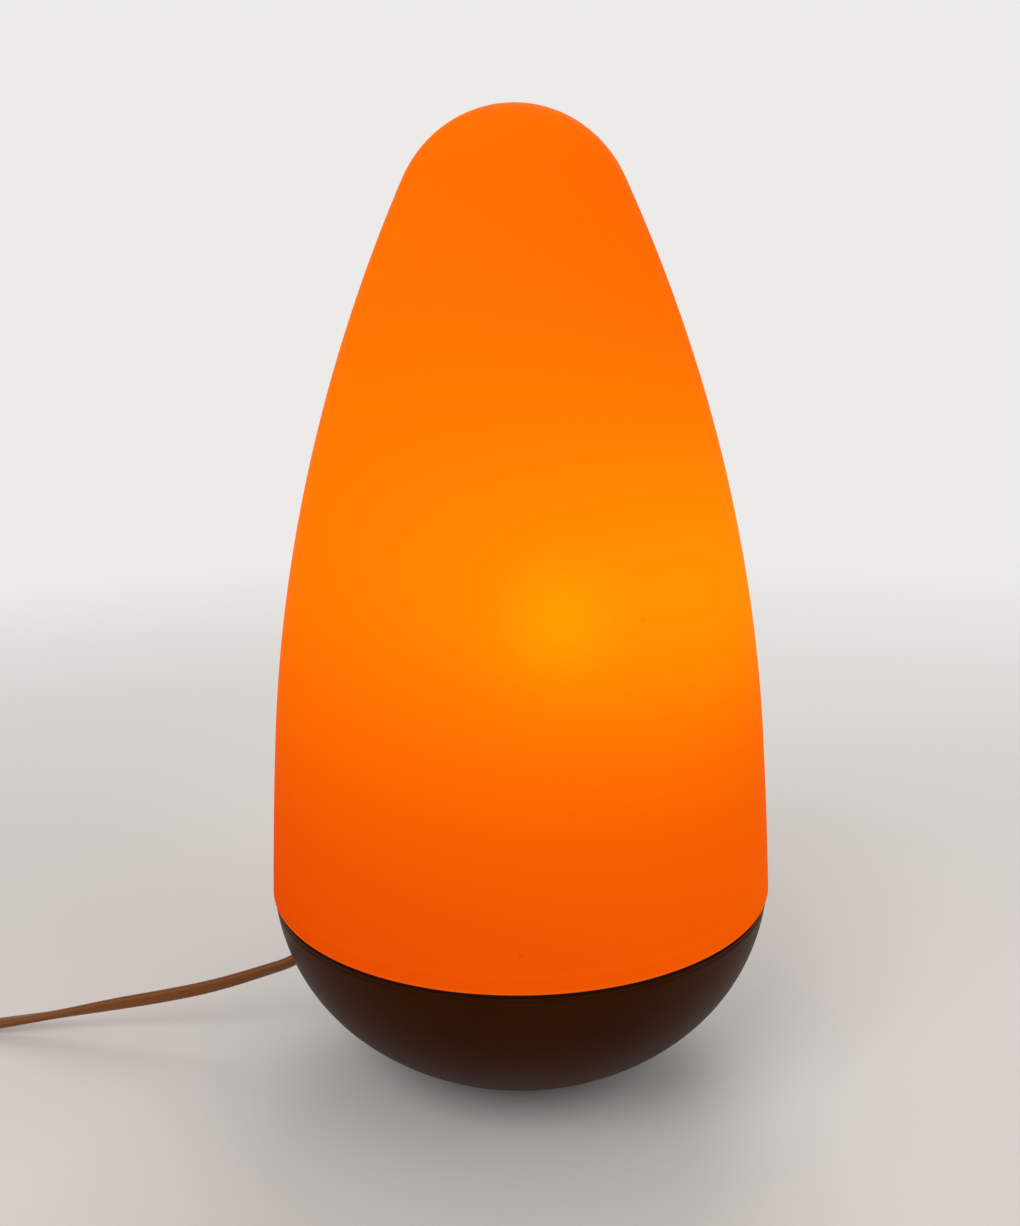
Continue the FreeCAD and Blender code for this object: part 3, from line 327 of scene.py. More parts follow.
def arc(middle, radius, first, last, steps):
    """Points of an arc about a middle (radius, height), from one angle to another in degrees."""
    angles = [first + (last - first) * i / steps for i in range(steps + 1)]
    return [offset(middle, heading(angle), radius) for angle in angles]


BOWL_TOP = 73.0
BOWL_RIM = 99.2
BOWL_WALL = 2.0
BOWL_EDGE = 0.8
SIDE_RADIUS = 74.0
RIM_TILT = 5.5
TURN_ANGLE = 43.5
FOOT_RADIUS, FOOT_LEVEL = 30.0, 2.0
UNDER_STEPS, SIDE_STEPS, EDGE_STEPS = 20, 24, 6
side_middle = offset((BOWL_RIM, BOWL_TOP), heading(-RIM_TILT), -SIDE_RADIUS)
turn_way = heading(-TURN_ANGLE)
turn_spot = offset(side_middle, turn_way, SIDE_RADIUS)
gap = (turn_spot[0] - FOOT_RADIUS, turn_spot[1] - FOOT_LEVEL)
UNDER_RADIUS = (gap[0] ** 2 + gap[1] ** 2) / (2 * (gap[0] * turn_way[0] + gap[1] * turn_way[1]))
under_middle = offset(turn_spot, turn_way, -UNDER_RADIUS)


def bowl_line(inset, foot_level):
    """The bowl's curve from the foot to the rim, moved inwards by an inset."""
    down = math.degrees(math.asin((foot_level - under_middle[1]) / (UNDER_RADIUS - inset)))
    up = math.degrees(math.asin((BOWL_TOP - side_middle[1]) / (SIDE_RADIUS - inset)))
    line = arc(under_middle, UNDER_RADIUS - inset, down, -TURN_ANGLE, UNDER_STEPS)
    return line + arc(side_middle, SIDE_RADIUS - inset, -TURN_ANGLE, up, SIDE_STEPS)[1:]


# Near-black red-brown with a faint random cloud: the bowl's shade under the glass and the lamp's
# orange glow, painted into the colour
SHADE_AND_PAINT_DARK, SHADE_AND_PAINT_LIGHT = (0.028, 0.0060, 0.0006), (0.038, 0.0088, 0.0010)
PAINT_CLOUDS, PAINT_PEEL = 38.0, 900.0
# The sheen's orange tint is a painted reflection of the lamp's orange light
PAINT_SHINE, GLOW_REFLECTION_TINT = 0.045, (1.0, 0.45, 0.15)


def vary_roughness(tree, shader, amount, low, high):
    """Lets the roughness of a surface follow an amount."""
    gloss = add(tree, "ShaderNodeMapRange", Value=amount, To_Min=low, To_Max=high)
    tree.links.new(gloss.outputs[0], shader.inputs["Roughness"])


def shaded_satin_paint(name):
    """Satin paint, near-black red-brown as painted shade and orange glow, with a sheen tinted as a
    painted reflection of the glow, a faint cloud in its colour and gloss, and a fine orange peel.
    """
    material, tree, shader = new_material(name)
    spot = piece_spot(tree)
    cloud = noise(tree, spot, PAINT_CLOUDS, detail=4.0)
    tone = two_tone(tree, cloud, 0.3, SHADE_AND_PAINT_DARK, 0.75, SHADE_AND_PAINT_LIGHT)
    tree.links.new(tone, shader.inputs["Base Color"])
    vary_roughness(tree, shader, cloud, low=0.36, high=0.48)
    emboss(tree, shader, noise(tree, spot, PAINT_PEEL, detail=2.0), strength=0.06, distance=0.0003)
    finish(shader, Specular_IOR_Level=PAINT_SHINE, Specular_Tint=(*GLOW_REFLECTION_TINT, 1))
    return material


bowl_paint = shaded_satin_paint("bowl_paint")
RECESS_RADIUS, RECESS_ROOF = 15.0, 11.0
TUBE_HOLE = 5.1
outside = bowl_line(0.0, FOOT_LEVEL)
rim_corner = (outside[-1][0] - BOWL_EDGE, BOWL_TOP - BOWL_EDGE)
outside = [p for p in outside if p[1] < rim_corner[1]]
outside += arc(rim_corner, BOWL_EDGE, 0, 90, EDGE_STEPS)
bowl_profile = (
    [(TUBE_HOLE, RECESS_ROOF), (RECESS_RADIUS, RECESS_ROOF), (RECESS_RADIUS, FOOT_LEVEL)]
    + outside
    + bowl_line(BOWL_WALL, FOOT_LEVEL + BOWL_WALL)[::-1]
    + [
        (RECESS_RADIUS + BOWL_WALL, FOOT_LEVEL + BOWL_WALL),
        (RECESS_RADIUS + BOWL_WALL, RECESS_ROOF + BOWL_WALL),
        (TUBE_HOLE, RECESS_ROOF + BOWL_WALL),
        (TUBE_HOLE, RECESS_ROOF),
    ]
)
bowl = turned("bowl", bowl_profile, bowl_paint)
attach(bowl, "base")
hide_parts("base_bowl")


# Weight: an iron casting in the bottom of the bowl, left rough from its sand mould, that keeps the
# tall glass from tipping. The lamp tube clamps it to the bowl.
IRON_DARK, IRON_LIGHT = (0.030, 0.029, 0.028), (0.085, 0.080, 0.076)
IRON_SAND = 420.0
cast_iron, tree, shader = new_material("cast_iron")
sand = noise(tree, piece_spot(tree), IRON_SAND, detail=6.0, roughness=0.65)
iron_tone = two_tone(tree, sand, 0.35, IRON_DARK, 0.7, IRON_LIGHT)
tree.links.new(iron_tone, shader.inputs["Base Color"])
vary_roughness(tree, shader, sand, low=0.6, high=0.9)
emboss(tree, shader, sand, strength=0.7, distance=0.0005)
finish(shader, Metallic=0.7)
dress(cast_iron, "ballast_weight")


# Lamp tube, nuts and washers: zinc plated steel. The tube runs from the foot to the lampholder, and
# its nuts clamp the bowl, the weight and the carrier plate. The cord grip is plated too.
METAL_CLOUDS = 140.0
DRAWN_SHARE = 0.04


def plated(name, dark, bright, roughness, draw):
    """Bright metal with a cloud in its colour and fine drawn lines, so many a metre, along Z."""
    material, tree, shader = new_material(name)
    spot = piece_spot(tree)
    tone = two_tone(tree, noise(tree, spot, METAL_CLOUDS, detail=4.0), 0.3, dark, 0.7, bright)
    tree.links.new(tone, shader.inputs["Base Color"])
    drawn = vectors(tree, "MULTIPLY", spot, (draw, draw, draw * DRAWN_SHARE))
    lines = noise(tree, drawn, 1.0, detail=2.0)
    vary_roughness(tree, shader, lines, roughness - 0.1, roughness + 0.1)
    emboss(tree, shader, lines, strength=0.1, distance=0.0002)
    finish(shader, Metallic=1.0)
    return material


zinc = plated("zinc_steel", (0.46, 0.47, 0.49), (0.62, 0.63, 0.64), roughness=0.34, draw=2600.0)
dress(zinc, "lamp_tube", "lamp_nuts", "lamp_washers", "cord_grip", "switch_pin")


# Grommet: a strain relief of soft black-brown plastic that the flex goes through. It grips the bowl
# wall on both sides of its hole.
MOTTLE = 90.0
MOTTLE_DARK, MOTTLE_LIGHT = 0.9, 1.06


def moulded(name, colour, grain, roughness, shine=0.5):
    """Moulded plastic or rubber with a faint mottle, and a fine grain of so many bumps a metre."""
    material, tree, shader = new_material(name)
    spot = piece_spot(tree)
    mottle = noise(tree, spot, MOTTLE, detail=3.0)
    tone = add(tree, "ShaderNodeMapRange", Value=mottle, To_Min=MOTTLE_DARK, To_Max=MOTTLE_LIGHT)
    paint = add(tree, "ShaderNodeVectorMath", {"operation": "SCALE"}, i0=colour,
                Scale=tone.outputs[0])
    tree.links.new(paint.outputs[0], shader.inputs["Base Color"])
    vary_roughness(tree, shader, mottle, roughness - 0.07, roughness + 0.07)
    emboss(tree, shader, noise(tree, spot, grain, detail=2.0), strength=0.12, distance=0.0002)
    finish(shader, Specular_IOR_Level=shine)
    return material


grommet_plastic = moulded("grommet_plastic", (0.022, 0.0105, 0.006), grain=1700.0, roughness=0.55)
dress(grommet_plastic, "cord_grommet")


# Flex: flat two-core mains flex with a plastic sheath, its orange-brown partly its own colour and
# partly the lamp's orange light painted in. It leaves the bowl through a grommet, stands half on
# edge as it falls, and turns flat where it comes to lie on the table.
FLEX_WIDTH = 0.006
FLEX_THICKNESS = 0.0036
SECTION_POINTS = 20
SECTION_POWER = 0.8


def spline_points(name, route, steps):
    """Points of the smooth spline whose control points are a route, given in millimetres."""
    data = bpy.data.curves.new(name, "CURVE")
    data.dimensions = "3D"
    spline = data.splines.new("NURBS")
    spline.points.add(len(route) - 1)
    for point, spot in zip(spline.points, route):
        point.co = (*(Vector(spot) / 1000), 1)
    spline.order_u = 3
    spline.use_endpoint_u = True
    spline.resolution_u = steps
    line = bpy.data.objects.new(name, data)
    scene.collection.objects.link(line)
    mesh = plain_mesh(line)
    found = []
    for vertex in mesh.vertices:
        if not found or (vertex.co - found[-1]).length > 1e-6:
            found.append(vertex.co.copy())
    bpy.data.objects.remove(line)
    bpy.data.curves.remove(data)
    bpy.data.meshes.remove(mesh)
    return found


def smooth(value):
    """A share from 0 to 1 that starts and ends gently, and stays there outside."""
    value = min(max(value, 0.0), 1.0)
    return value * value * (3 - 2 * value)


def skinned(name, rings, comes_round=False):
    """A closed mesh on a row of rings, with flat ends unless the row comes round again."""
    bm = bmesh.new()
    rows = [[bm.verts.new(corner) for corner in ring] for ring in rings]
    for row, following in zip(rows, rows[1:] + rows[:1] if comes_round else rows[1:]):
        for k in range(len(row)):
            j = (k + 1) % len(row)
            bm.faces.new((row[k], row[j], following[j], following[k]))
    if not comes_round:
        bm.faces.new(rows[0][::-1])
        bm.faces.new(rows[-1])
    bmesh.ops.recalc_face_normals(bm, faces=bm.faces)
    mesh = bpy.data.meshes.new(name)
    bm.to_mesh(mesh)
    bm.free()
    return mesh


def oval(value):
    """A sine or cosine, made fuller than a circle's."""
    return math.copysign(abs(value) ** SECTION_POWER, value)


def oval_tube(name, points, standing, material, width=FLEX_WIDTH, thickness=FLEX_THICKNESS):
    """A flat oval tube along points; standing gives the angle of its broad side above level."""
    rings = []
    travelled = 0.0
    for i, point in enumerate(points):
        before, after = points[max(i - 1, 0)], points[min(i + 1, len(points) - 1)]
        along = (after - before).normalized()
        travelled += (point - before).length
        side = Vector((0, 0, 1)).cross(along).normalized()
        across = Matrix.Rotation(standing(travelled), 3, along) @ side
        thick = along.cross(across)
        ring = []
        for k in range(SECTION_POINTS):
            turn = 2 * math.pi * k / SECTION_POINTS
            flat, high = oval(math.cos(turn)) * width / 2, oval(math.sin(turn)) * thickness / 2
            ring.append(point + across * flat + thick * high)
        rings.append(ring)
    return new_piece(name, skinned(name, rings), material)


# Orange-brown: partly the sheath's own colour, partly the lamp's orange light painted in
SHEATH_GLOW_BROWN = (0.20, 0.060, 0.006)
flex_sheath = moulded("glow_brown_sheath", SHEATH_GLOW_BROWN, grain=2200.0, roughness=0.42, shine=0.25)
FREE_ROUTE = [
    (-91.3, 0.0, 38.2),
    (-96.7, 0.0, 34.7),
    (-108.0, 0.3, 30.9),
    (-120.0, 0.9, 26.7),
    (-134.0, 1.7, 22.4),
    (-152.0, 2.6, 18.3),
    (-174.0, 3.8, 14.0),
    (-198.0, 5.0, 9.0),
    (-222.0, 5.8, 4.8),
    (-243.0, 5.2, 2.1),
    (-259.0, 3.6, 1.9),
    (-272.0, 2.4, 3.9),
    (-284.0, 2.0, 8.0),
    (-296.0, 2.0, 8.0),
]
EDGE_ANGLE, EDGE_MORE, EDGE_RUN = 0.9, 0.35, 0.06
FLAT_FROM, FLAT_RUN = 0.07, 0.075


def falling(travelled):
    """Half on edge at the bowl, fully on edge further out, and flat on the table."""
    rising = EDGE_ANGLE + EDGE_MORE * smooth(travelled / EDGE_RUN)
    return rising * (1 - smooth((travelled - FLAT_FROM) / FLAT_RUN))


free_points = spline_points("free_route", FREE_ROUTE, steps=10)
free_flex = oval_tube("mains_flex_sheath", free_points, falling, flex_sheath)
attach(free_flex, "base")
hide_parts("mains_flex")


# Screws: pan heads with a cross recess, two that hold the cord grip up against the plate and two
# that close the switch from below.
SCREW_HEAD_RADIUS, SCREW_HEAD_HEIGHT = 0.0028, 0.0018
SCREW_SHANK_RADIUS = 0.0015
CROSS_LENGTH, CROSS_WIDTH, CROSS_DEPTH = 0.0034, 0.0007, 0.0009
HEAD_SIDES, SHANK_SIDES = 28, 20
LARGEST_SIDE_AREA = 3e-6
GRIP_SEATS = [(-0.039, y, 0.0638) for y in (0.0077, -0.0077)]
GRIP_SCREW_LENGTH = 0.0036


def screw_tree():
    """Geometry nodes that set a screw on every point: its head under the point, its shank above."""
    tree = bpy.data.node_groups.new("screws_on_points", "GeometryNodeTree")
    face = tree.interface
    face.new_socket("Seats", in_out="INPUT", socket_type="NodeSocketGeometry")
    for size in ("Head Radius", "Head Height", "Shank Radius", "Shank Length"):
        face.new_socket(size, in_out="INPUT", socket_type="NodeSocketFloat")
    face.new_socket("Finish", in_out="INPUT", socket_type="NodeSocketMaterial")
    face.new_socket("Screws", in_out="OUTPUT", socket_type="NodeSocketGeometry")
    given = tree.nodes.new("NodeGroupInput").outputs

    def shift(shape, height):
        lift = add(tree, "ShaderNodeCombineXYZ", Z=height).outputs[0]
        return add(tree, "GeometryNodeTransform", Geometry=shape, Translation=lift).outputs[0]

    half_head = maths(tree, "MULTIPLY", given["Head Height"], -0.5)
    head = add(tree, "GeometryNodeMeshCylinder", Vertices=HEAD_SIDES, Radius=given["Head Radius"],
               Depth=given["Head Height"]).outputs["Mesh"]
    head = shift(head, half_head)
    floor_level = maths(tree, "MULTIPLY", given["Head Height"], -1.0)
    cut = {"operation": "DIFFERENCE", "solver": "MANIFOLD"}
    for length, width in ((CROSS_LENGTH, CROSS_WIDTH), (CROSS_WIDTH, CROSS_LENGTH)):
        arm = add(tree, "GeometryNodeMeshCube", Size=(length, width, 2 * CROSS_DEPTH))
        arm = shift(arm.outputs["Mesh"], floor_level)
        head = add(tree, "GeometryNodeMeshBoolean", cut, i0=head, i1=arm).outputs["Mesh"]
    shank = add(tree, "GeometryNodeMeshCylinder", Vertices=SHANK_SIDES,
                Radius=given["Shank Radius"], Depth=given["Shank Length"]).outputs["Mesh"]
    shank = shift(shank, maths(tree, "MULTIPLY", given["Shank Length"], 0.5))
    whole = tree.nodes.new("GeometryNodeJoinGeometry")
    for shape in (head, shank):
        tree.links.new(shape, whole.inputs[0])
    set_out = add(tree, "GeometryNodeInstanceOnPoints", Points=given["Seats"],
                  Instance=whole.outputs[0])
    single = add(tree, "GeometryNodeRealizeInstances", Geometry=set_out.outputs[0])
    finished = add(tree, "GeometryNodeSetMaterial", Geometry=single.outputs[0],
                   Material=given["Finish"])
    out = tree.nodes.new("NodeGroupOutput")
    tree.links.new(finished.outputs[0], out.inputs["Screws"])
    return tree


screw_shape = screw_tree()


def cross_screws(name, node_name, seats, shank_length):
    """Plated screws on their seats, in place of the plain ones of a node."""
    values = {
        "Head Radius": SCREW_HEAD_RADIUS,
        "Head Height": SCREW_HEAD_HEIGHT,
        "Shank Radius": SCREW_SHANK_RADIUS,
        "Shank Length": shank_length,
        "Finish": zinc,
    }
    mesh = applied(name, seats, screw_shape, values)
    screws = new_piece(name, mesh, zinc)
    for face in mesh.polygons:
        face.use_smooth = abs(face.normal.z) < 0.1 and face.area < LARGEST_SIDE_AREA
    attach(screws, "base")
    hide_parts(node_name)
    return screws


cross_screws("grip_screws", "cord_grip_screws", GRIP_SEATS, GRIP_SCREW_LENGTH)


# Leads in the base: the flex runs from the bowl wall to a grip under the plate. There its two cores
# part, go through a slot into the lamp tube and climb to the terminals of the lampholder.
LEAD_WIDTH = 0.0016
LEAD_BROWN, LEAD_BLUE = (0.09, 0.025, 0.008), (0.01, 0.06, 0.32)
LEADS = (("lead_live", 1, LEAD_BROWN), ("lead_neutral", -1, LEAD_BLUE))
LEAD_LEAN = 0.01
INSIDE_ROUTE = [
    (-91.3, 0.0, 38.2),
    (-75.5, 0.0, 48.3),
    (-53.9, 0.0, 62.0),
    (-44.5, 0.0, 62.0),
    (-34.0, 0.0, 62.0),
]
LEAD_ROUTE = [
    (-34.0, 1.4, 62.0),
    (-23.0, 1.4, 62.0),
    (-16.0, 1.4, 47.0),
    (-6.0, 1.4, 46.1),
    (0.0, 1.4, 54.1),
    (0.0, 1.4, 79.7),
    (0.0, 8.0, 85.0),
    (0.0, 8.0, 90.2),
]


def lying(travelled):
    """Flat all along."""
    return 0.0


inside_points = spline_points("inside_route", INSIDE_ROUTE, steps=8)
inside_flex = oval_tube("inside_flex_sheath", inside_points, lying, flex_sheath)
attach(inside_flex, "base")
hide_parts("flex_inside")
for lead_name, lead_side, lead_colour in LEADS:
    lead_sheath = moulded(f"{lead_name}_sheath", lead_colour, grain=2500.0, roughness=0.4)
    # A lead that climbs straight up has no level direction for its side, so it leans by a hair
    lead_route = [(x - i * LEAD_LEAN, y * lead_side, z) for i, (x, y, z) in enumerate(LEAD_ROUTE)]
    lead_points = spline_points(lead_name, lead_route, steps=8)
    lead = oval_tube(f"{lead_name}_core", lead_points, lying, lead_sheath, LEAD_WIDTH, LEAD_WIDTH)
    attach(lead, "base")
    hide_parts(lead_name)


# Carrier plate: pressed sheet, painted like the bowl, so it carries the same painted shade and glow
# and the seam under the glass stays dark. Its rim lies on the bowl, its raised ridge centres the
# glass, and a black rubber ring between them keeps glass from metal.
# Painted shade and glow of the bowl, so the seam under the glass stays dark
plate_paint = shaded_satin_paint("plate_paint")
dress(plate_paint, "carrier_plate")
RUBBER_BLACK = (0.012, 0.009, 0.007)
black_rubber = moulded("black_rubber", RUBBER_BLACK, grain=1800.0, roughness=0.7, shine=0.1)
dress(black_rubber, "shade_seat_ring")


# Lampholder: two white moulded halves on top of the lamp tube that screw together round a ceramic
# insert with its terminals. A brass shell takes the thread of the bulb.
holder_plastic = moulded("white_moulding", (0.72, 0.70, 0.66), grain=1200.0, roughness=0.34)
dress(holder_plastic, "holder_cap", "holder_skirt")
ceramic = moulded("white_ceramic", (0.74, 0.72, 0.67), grain=3200.0, roughness=0.55)
dress(ceramic, "holder_insert")
brass = plated("brass", (0.50, 0.33, 0.11), (0.66, 0.46, 0.17), roughness=0.28, draw=1800.0)
dress(brass, "holder_screw_shell", "holder_contact", "holder_terminals", "switch_blades")


# Bulb: a lamp bulb with a rolled screw cap, a black glass insulator with its contact tip, a white
# plastic body and a milky dome that is lit.
CAP_FOOT, CAP_NECK = 105.9, 126.9
CAP_CREST, THREAD_DEPTH, THREAD_PITCH = 13.05, 1.0, 3.629
CAP_FOOT_RADIUS, CAP_LEAD_IN, CAP_RUN_OUT = 11.5, 3.0, 1.5
CAP_ROWS, CAP_COLUMNS = 84, 72
NICKEL_DARK, NICKEL_BRIGHT = (0.48, 0.47, 0.45), (0.64, 0.63, 0.60)
bulb_metal = plated("nickel_cap", NICKEL_DARK, NICKEL_BRIGHT, roughness=0.3, draw=2200.0)


def thread_radius(height, turn):
    """The rolled thread's radius: a wave that climbs by a pitch each turn, plain at its ends."""
    wave = 0.5 - 0.5 * math.cos(2 * math.pi * ((height - CAP_FOOT) / THREAD_PITCH - turn))
    lead_in = smooth((height - CAP_FOOT) / CAP_LEAD_IN)
    run_out = smooth((CAP_NECK - height) / CAP_RUN_OUT)
    crest = CAP_FOOT_RADIUS + (CAP_CREST - CAP_FOOT_RADIUS) * lead_in
    return crest - THREAD_DEPTH * wave * lead_in * run_out


rows = []
for i in range(CAP_ROWS + 1):
    height = CAP_FOOT + (CAP_NECK - CAP_FOOT) * i / CAP_ROWS
    row = []
    for k in range(CAP_COLUMNS):
        turn = k / CAP_COLUMNS
        radius = thread_radius(height, turn) / 1000
        angle = 2 * math.pi * turn
        row.append((radius * math.cos(angle), radius * math.sin(angle), height / 1000))
    rows.append(row)
screw_cap = new_piece("bulb_screw_cap", skinned("bulb_screw_cap", rows), bulb_metal)
for face in screw_cap.data.polygons:
    face.use_smooth = len(face.vertices) == 4
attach(screw_cap, "bulb")
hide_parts("bulb_cap")
dress(bulb_metal, "bulb_tip")
black_glass = moulded("black_glass", (0.012, 0.012, 0.014), grain=400.0, roughness=0.16)
dress(black_glass, "bulb_insulator")
bulb_plastic = moulded("white_bulb_body", (0.74, 0.74, 0.72), grain=900.0, roughness=0.4)
dress(bulb_plastic, "bulb_body")
DOME_FOOT, DOME_TOP = 0.1669, 0.2069
DOME_DIM, DOME_BRIGHT = (0.80, 0.46, 0.17), (1.0, 0.80, 0.50)
DOME_LIGHT = 0.9
DOME_HAZE, DOME_HAZE_SHARE = 60.0, 0.08
milky, tree, shader = new_material("milky_dome")
spot = piece_spot(tree)
height = add(tree, "ShaderNodeSeparateXYZ", Vector=spot).outputs["Z"]
haze = noise(tree, spot, DOME_HAZE, detail=2.0)
climb = maths(tree, "MULTIPLY_ADD", haze, DOME_HAZE_SHARE, eased(tree, height, DOME_FOOT, DOME_TOP))
warmth = two_tone(tree, climb, 0.0, DOME_DIM, 0.7, DOME_BRIGHT)
tree.links.new(warmth, shader.inputs["Emission Color"])
finish(shader, Emission_Strength=DOME_LIGHT, Base_Color=(0.30, 0.28, 0.25, 1), Roughness=0.45)
dress(milky, "bulb_dome")


# Glass: blown opal glass egg, satin outside, ground flat at its open end. It glows from the bulb
# inside: brightest in front of the bulb, dimmer below it where the bulb throws little light.
GLASS_RIM, GLASS_FOOT, GLASS_TOP = 100.0, 75.6, 371.0
GLASS_WALL = 3.2
LIP_ROUND = 0.9
GLASS_LEAN, BELLY_ANGLE = 2.7, 4.6
BELLY_RADIUS, CROWN_RADIUS = 1960.0, 45.0
BELLY_STEPS, FLANK_STEPS, CROWN_STEPS = 16, 48, 24
belly_middle = offset((GLASS_RIM, GLASS_FOOT), heading(GLASS_LEAN), -BELLY_RADIUS)
bend_way = heading(BELLY_ANGLE)
bend_spot = offset(belly_middle, bend_way, BELLY_RADIUS)
crown_middle = (0.0, GLASS_TOP - CROWN_RADIUS)
span = (bend_spot[0], bend_spot[1] - crown_middle[1])
FLANK_RADIUS = (span[0] ** 2 + span[1] ** 2 - CROWN_RADIUS**2) / (
    2 * (span[0] * bend_way[0] + span[1] * bend_way[1] - CROWN_RADIUS)
)
flank_middle = offset(bend_spot, bend_way, -FLANK_RADIUS)
crown_angle = math.degrees(math.atan2(crown_middle[1] - flank_middle[1], -flank_middle[0]))


def glass_line(inset):
    """The egg's curve from its open end to its top, moved inwards by an inset."""
    foot = math.degrees(math.asin((GLASS_FOOT - belly_middle[1]) / (BELLY_RADIUS - inset)))
    line = arc(belly_middle, BELLY_RADIUS - inset, foot, BELLY_ANGLE, BELLY_STEPS)
    line += arc(flank_middle, FLANK_RADIUS - inset, BELLY_ANGLE, crown_angle, FLANK_STEPS)[1:]
    return line + arc(crown_middle, CROWN_RADIUS - inset, crown_angle, 90, CROWN_STEPS)[1:]


outer_line, inner_line = glass_line(0.0), glass_line(GLASS_WALL)
lip_level = GLASS_FOOT + LIP_ROUND
lip = arc((outer_line[0][0] - LIP_ROUND, lip_level), LIP_ROUND, -90, 0, EDGE_STEPS)
inner_lip = arc((inner_line[0][0] + LIP_ROUND, lip_level), LIP_ROUND, 180, 270, EDGE_STEPS)
glass_profile = (
    lip
    + [p for p in outer_line if p[1] > lip_level]
    + [p for p in inner_line if p[1] > lip_level][::-1]
    + inner_lip
    + lip[:1]
)
glass_profile = [(max(r, 0.0), z) for r, z in glass_profile]

# Light of the bulb on the glass, as the green share of the orange; red is nearly full throughout
FOLD_DEPTH = 0.035
BULB_SPOT = (0.0149, -0.0156, 0.1748)
BULB_LIGHT = 0.00066
BULB_UPWARD = 1.123
GLOW_LEVEL = 0.1023
GLOW_RISE, GLOW_SIDE = 0.159, 1.6
GLOW_HEIGHT = 0.2
HOT_SPOT = (0.0129, -0.0899, 0.1999)
HOT_LIGHT = 0.0856
HOT_WIDTH = 0.01765
LIP_LIGHT, LIP_BAND = 0.022, (0.0759, 0.0774)
RIDGE_LIGHT, RIDGE_LINE, RIDGE_WIDTH = 0.004, 0.0826, 0.0011
SEEDS = (
    ((-0.0005, -0.0992, 0.0897), 0.0018, 0.22),
    ((0.0403, -0.0786, 0.1979), 0.0014, 0.16),
    ((-0.0358, -0.0809, 0.1970), 0.0013, 0.12),
    ((0.0291, -0.0416, 0.3230), 0.0014, 0.14),
)
RED_CURVE = ((0.075, 0.79), (0.10, 0.865), (0.13, 0.94), (0.165, 1.0))
STUDIO_GREEN = 0.03
STUDIO_RED = 0.22


def bell(tree, distance):
    """One at no distance, and hardly anything past two."""
    squared = maths(tree, "POWER", distance, 2.0)
    return maths(tree, "EXPONENT", maths(tree, "MULTIPLY", squared, -1.0))


opal_glass, tree, shader = new_material("opal_glass")
spot = piece_spot(tree)
outward = add(tree, "ShaderNodeNewGeometry").outputs["Normal"]
# The back glows as the front does: places behind the middle are folded onto the front
depth = add(tree, "ShaderNodeSeparateXYZ", Vector=spot).outputs["Y"]
fold = eased(tree, depth, -FOLD_DEPTH, FOLD_DEPTH, 1.0, -1.0)
fold = add(tree, "ShaderNodeCombineXYZ", X=1.0, Y=fold, Z=1.0).outputs[0]
lit_spot = vectors(tree, "MULTIPLY", spot, fold)
outward = vectors(tree, "MULTIPLY", outward, fold)
ray = vectors(tree, "SUBTRACT", lit_spot, BULB_SPOT)
distance = vectors(tree, "LENGTH", ray, out=1)
way = vectors(tree, "NORMALIZE", ray)
facing = maths(tree, "MAXIMUM", vectors(tree, "DOT_PRODUCT", way, outward, out=1), 0.0)
upward = add(tree, "ShaderNodeSeparateXYZ", Vector=way).outputs["Z"]
lobe = maths(tree, "MULTIPLY_ADD", upward, BULB_UPWARD, 1.0)
direct = maths(tree, "DIVIDE", facing, maths(tree, "POWER", distance, 2.0))
direct = maths(tree, "MULTIPLY", maths(tree, "MULTIPLY", direct, lobe), BULB_LIGHT)
height = add(tree, "ShaderNodeSeparateXYZ", Vector=spot).outputs["Z"]
above = maths(tree, "SUBTRACT", height, GLOW_HEIGHT)
sideways = add(tree, "ShaderNodeSeparateXYZ", Vector=spot).outputs["X"]
rise = maths(tree, "MULTIPLY_ADD", sideways, -GLOW_SIDE, GLOW_RISE)
even = maths(tree, "MULTIPLY_ADD", above, rise, GLOW_LEVEL)
near = maths(tree, "DIVIDE", vectors(tree, "DISTANCE", lit_spot, HOT_SPOT, out=1), HOT_WIDTH)
hot = maths(tree, "MULTIPLY", bell(tree, near), HOT_LIGHT)
glow = maths(tree, "ADD", maths(tree, "ADD", direct, even), hot)
lip_band = eased(tree, height, *LIP_BAND, LIP_LIGHT, 0.0)
off_line = maths(tree, "DIVIDE", maths(tree, "SUBTRACT", height, RIDGE_LINE), RIDGE_WIDTH)
edge_light = maths(tree, "MULTIPLY_ADD", bell(tree, off_line), RIDGE_LIGHT, lip_band)
glow = maths(tree, "ADD", glow, edge_light)
for seed_spot, seed_size, seed_depth in SEEDS:
    to_seed = vectors(tree, "DISTANCE", spot, seed_spot, out=1)
    dimmed = eased(tree, to_seed, 0.0, seed_size, 1.0 - seed_depth, 1.0)
    glow = maths(tree, "MULTIPLY", glow, dimmed)
red = add(tree, "ShaderNodeFloatCurve", Value=glow)
curve = red.mapping.curves[0]
curve.points[0].location = (0.0, 0.0)
curve.points[1].location = (1.0, 1.0)
for level_in, level_out in RED_CURVE:
    curve.points.new(level_in, level_out)
red.mapping.update()
ember = add(
    tree,
    "ShaderNodeCombineColor",
    Red=maths(tree, "SUBTRACT", red.outputs[0], STUDIO_RED),
    Green=maths(tree, "MAXIMUM", maths(tree, "SUBTRACT", glow, STUDIO_GREEN), 0.0),
    Blue=0.0,
)
tree.links.new(ember.outputs[0], shader.inputs["Emission Color"])
finish(shader, Emission_Strength=1.0, Base_Color=(0.30, 0.04, 0.001, 1), Roughness=0.42)
finish(shader, Specular_IOR_Level=0.0005, Specular_Tint=(1.0, 0.3, 0.005, 1))

glass = turned("glass_egg", glass_profile, opal_glass)
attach(glass, "shade")
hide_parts("glass_shade")


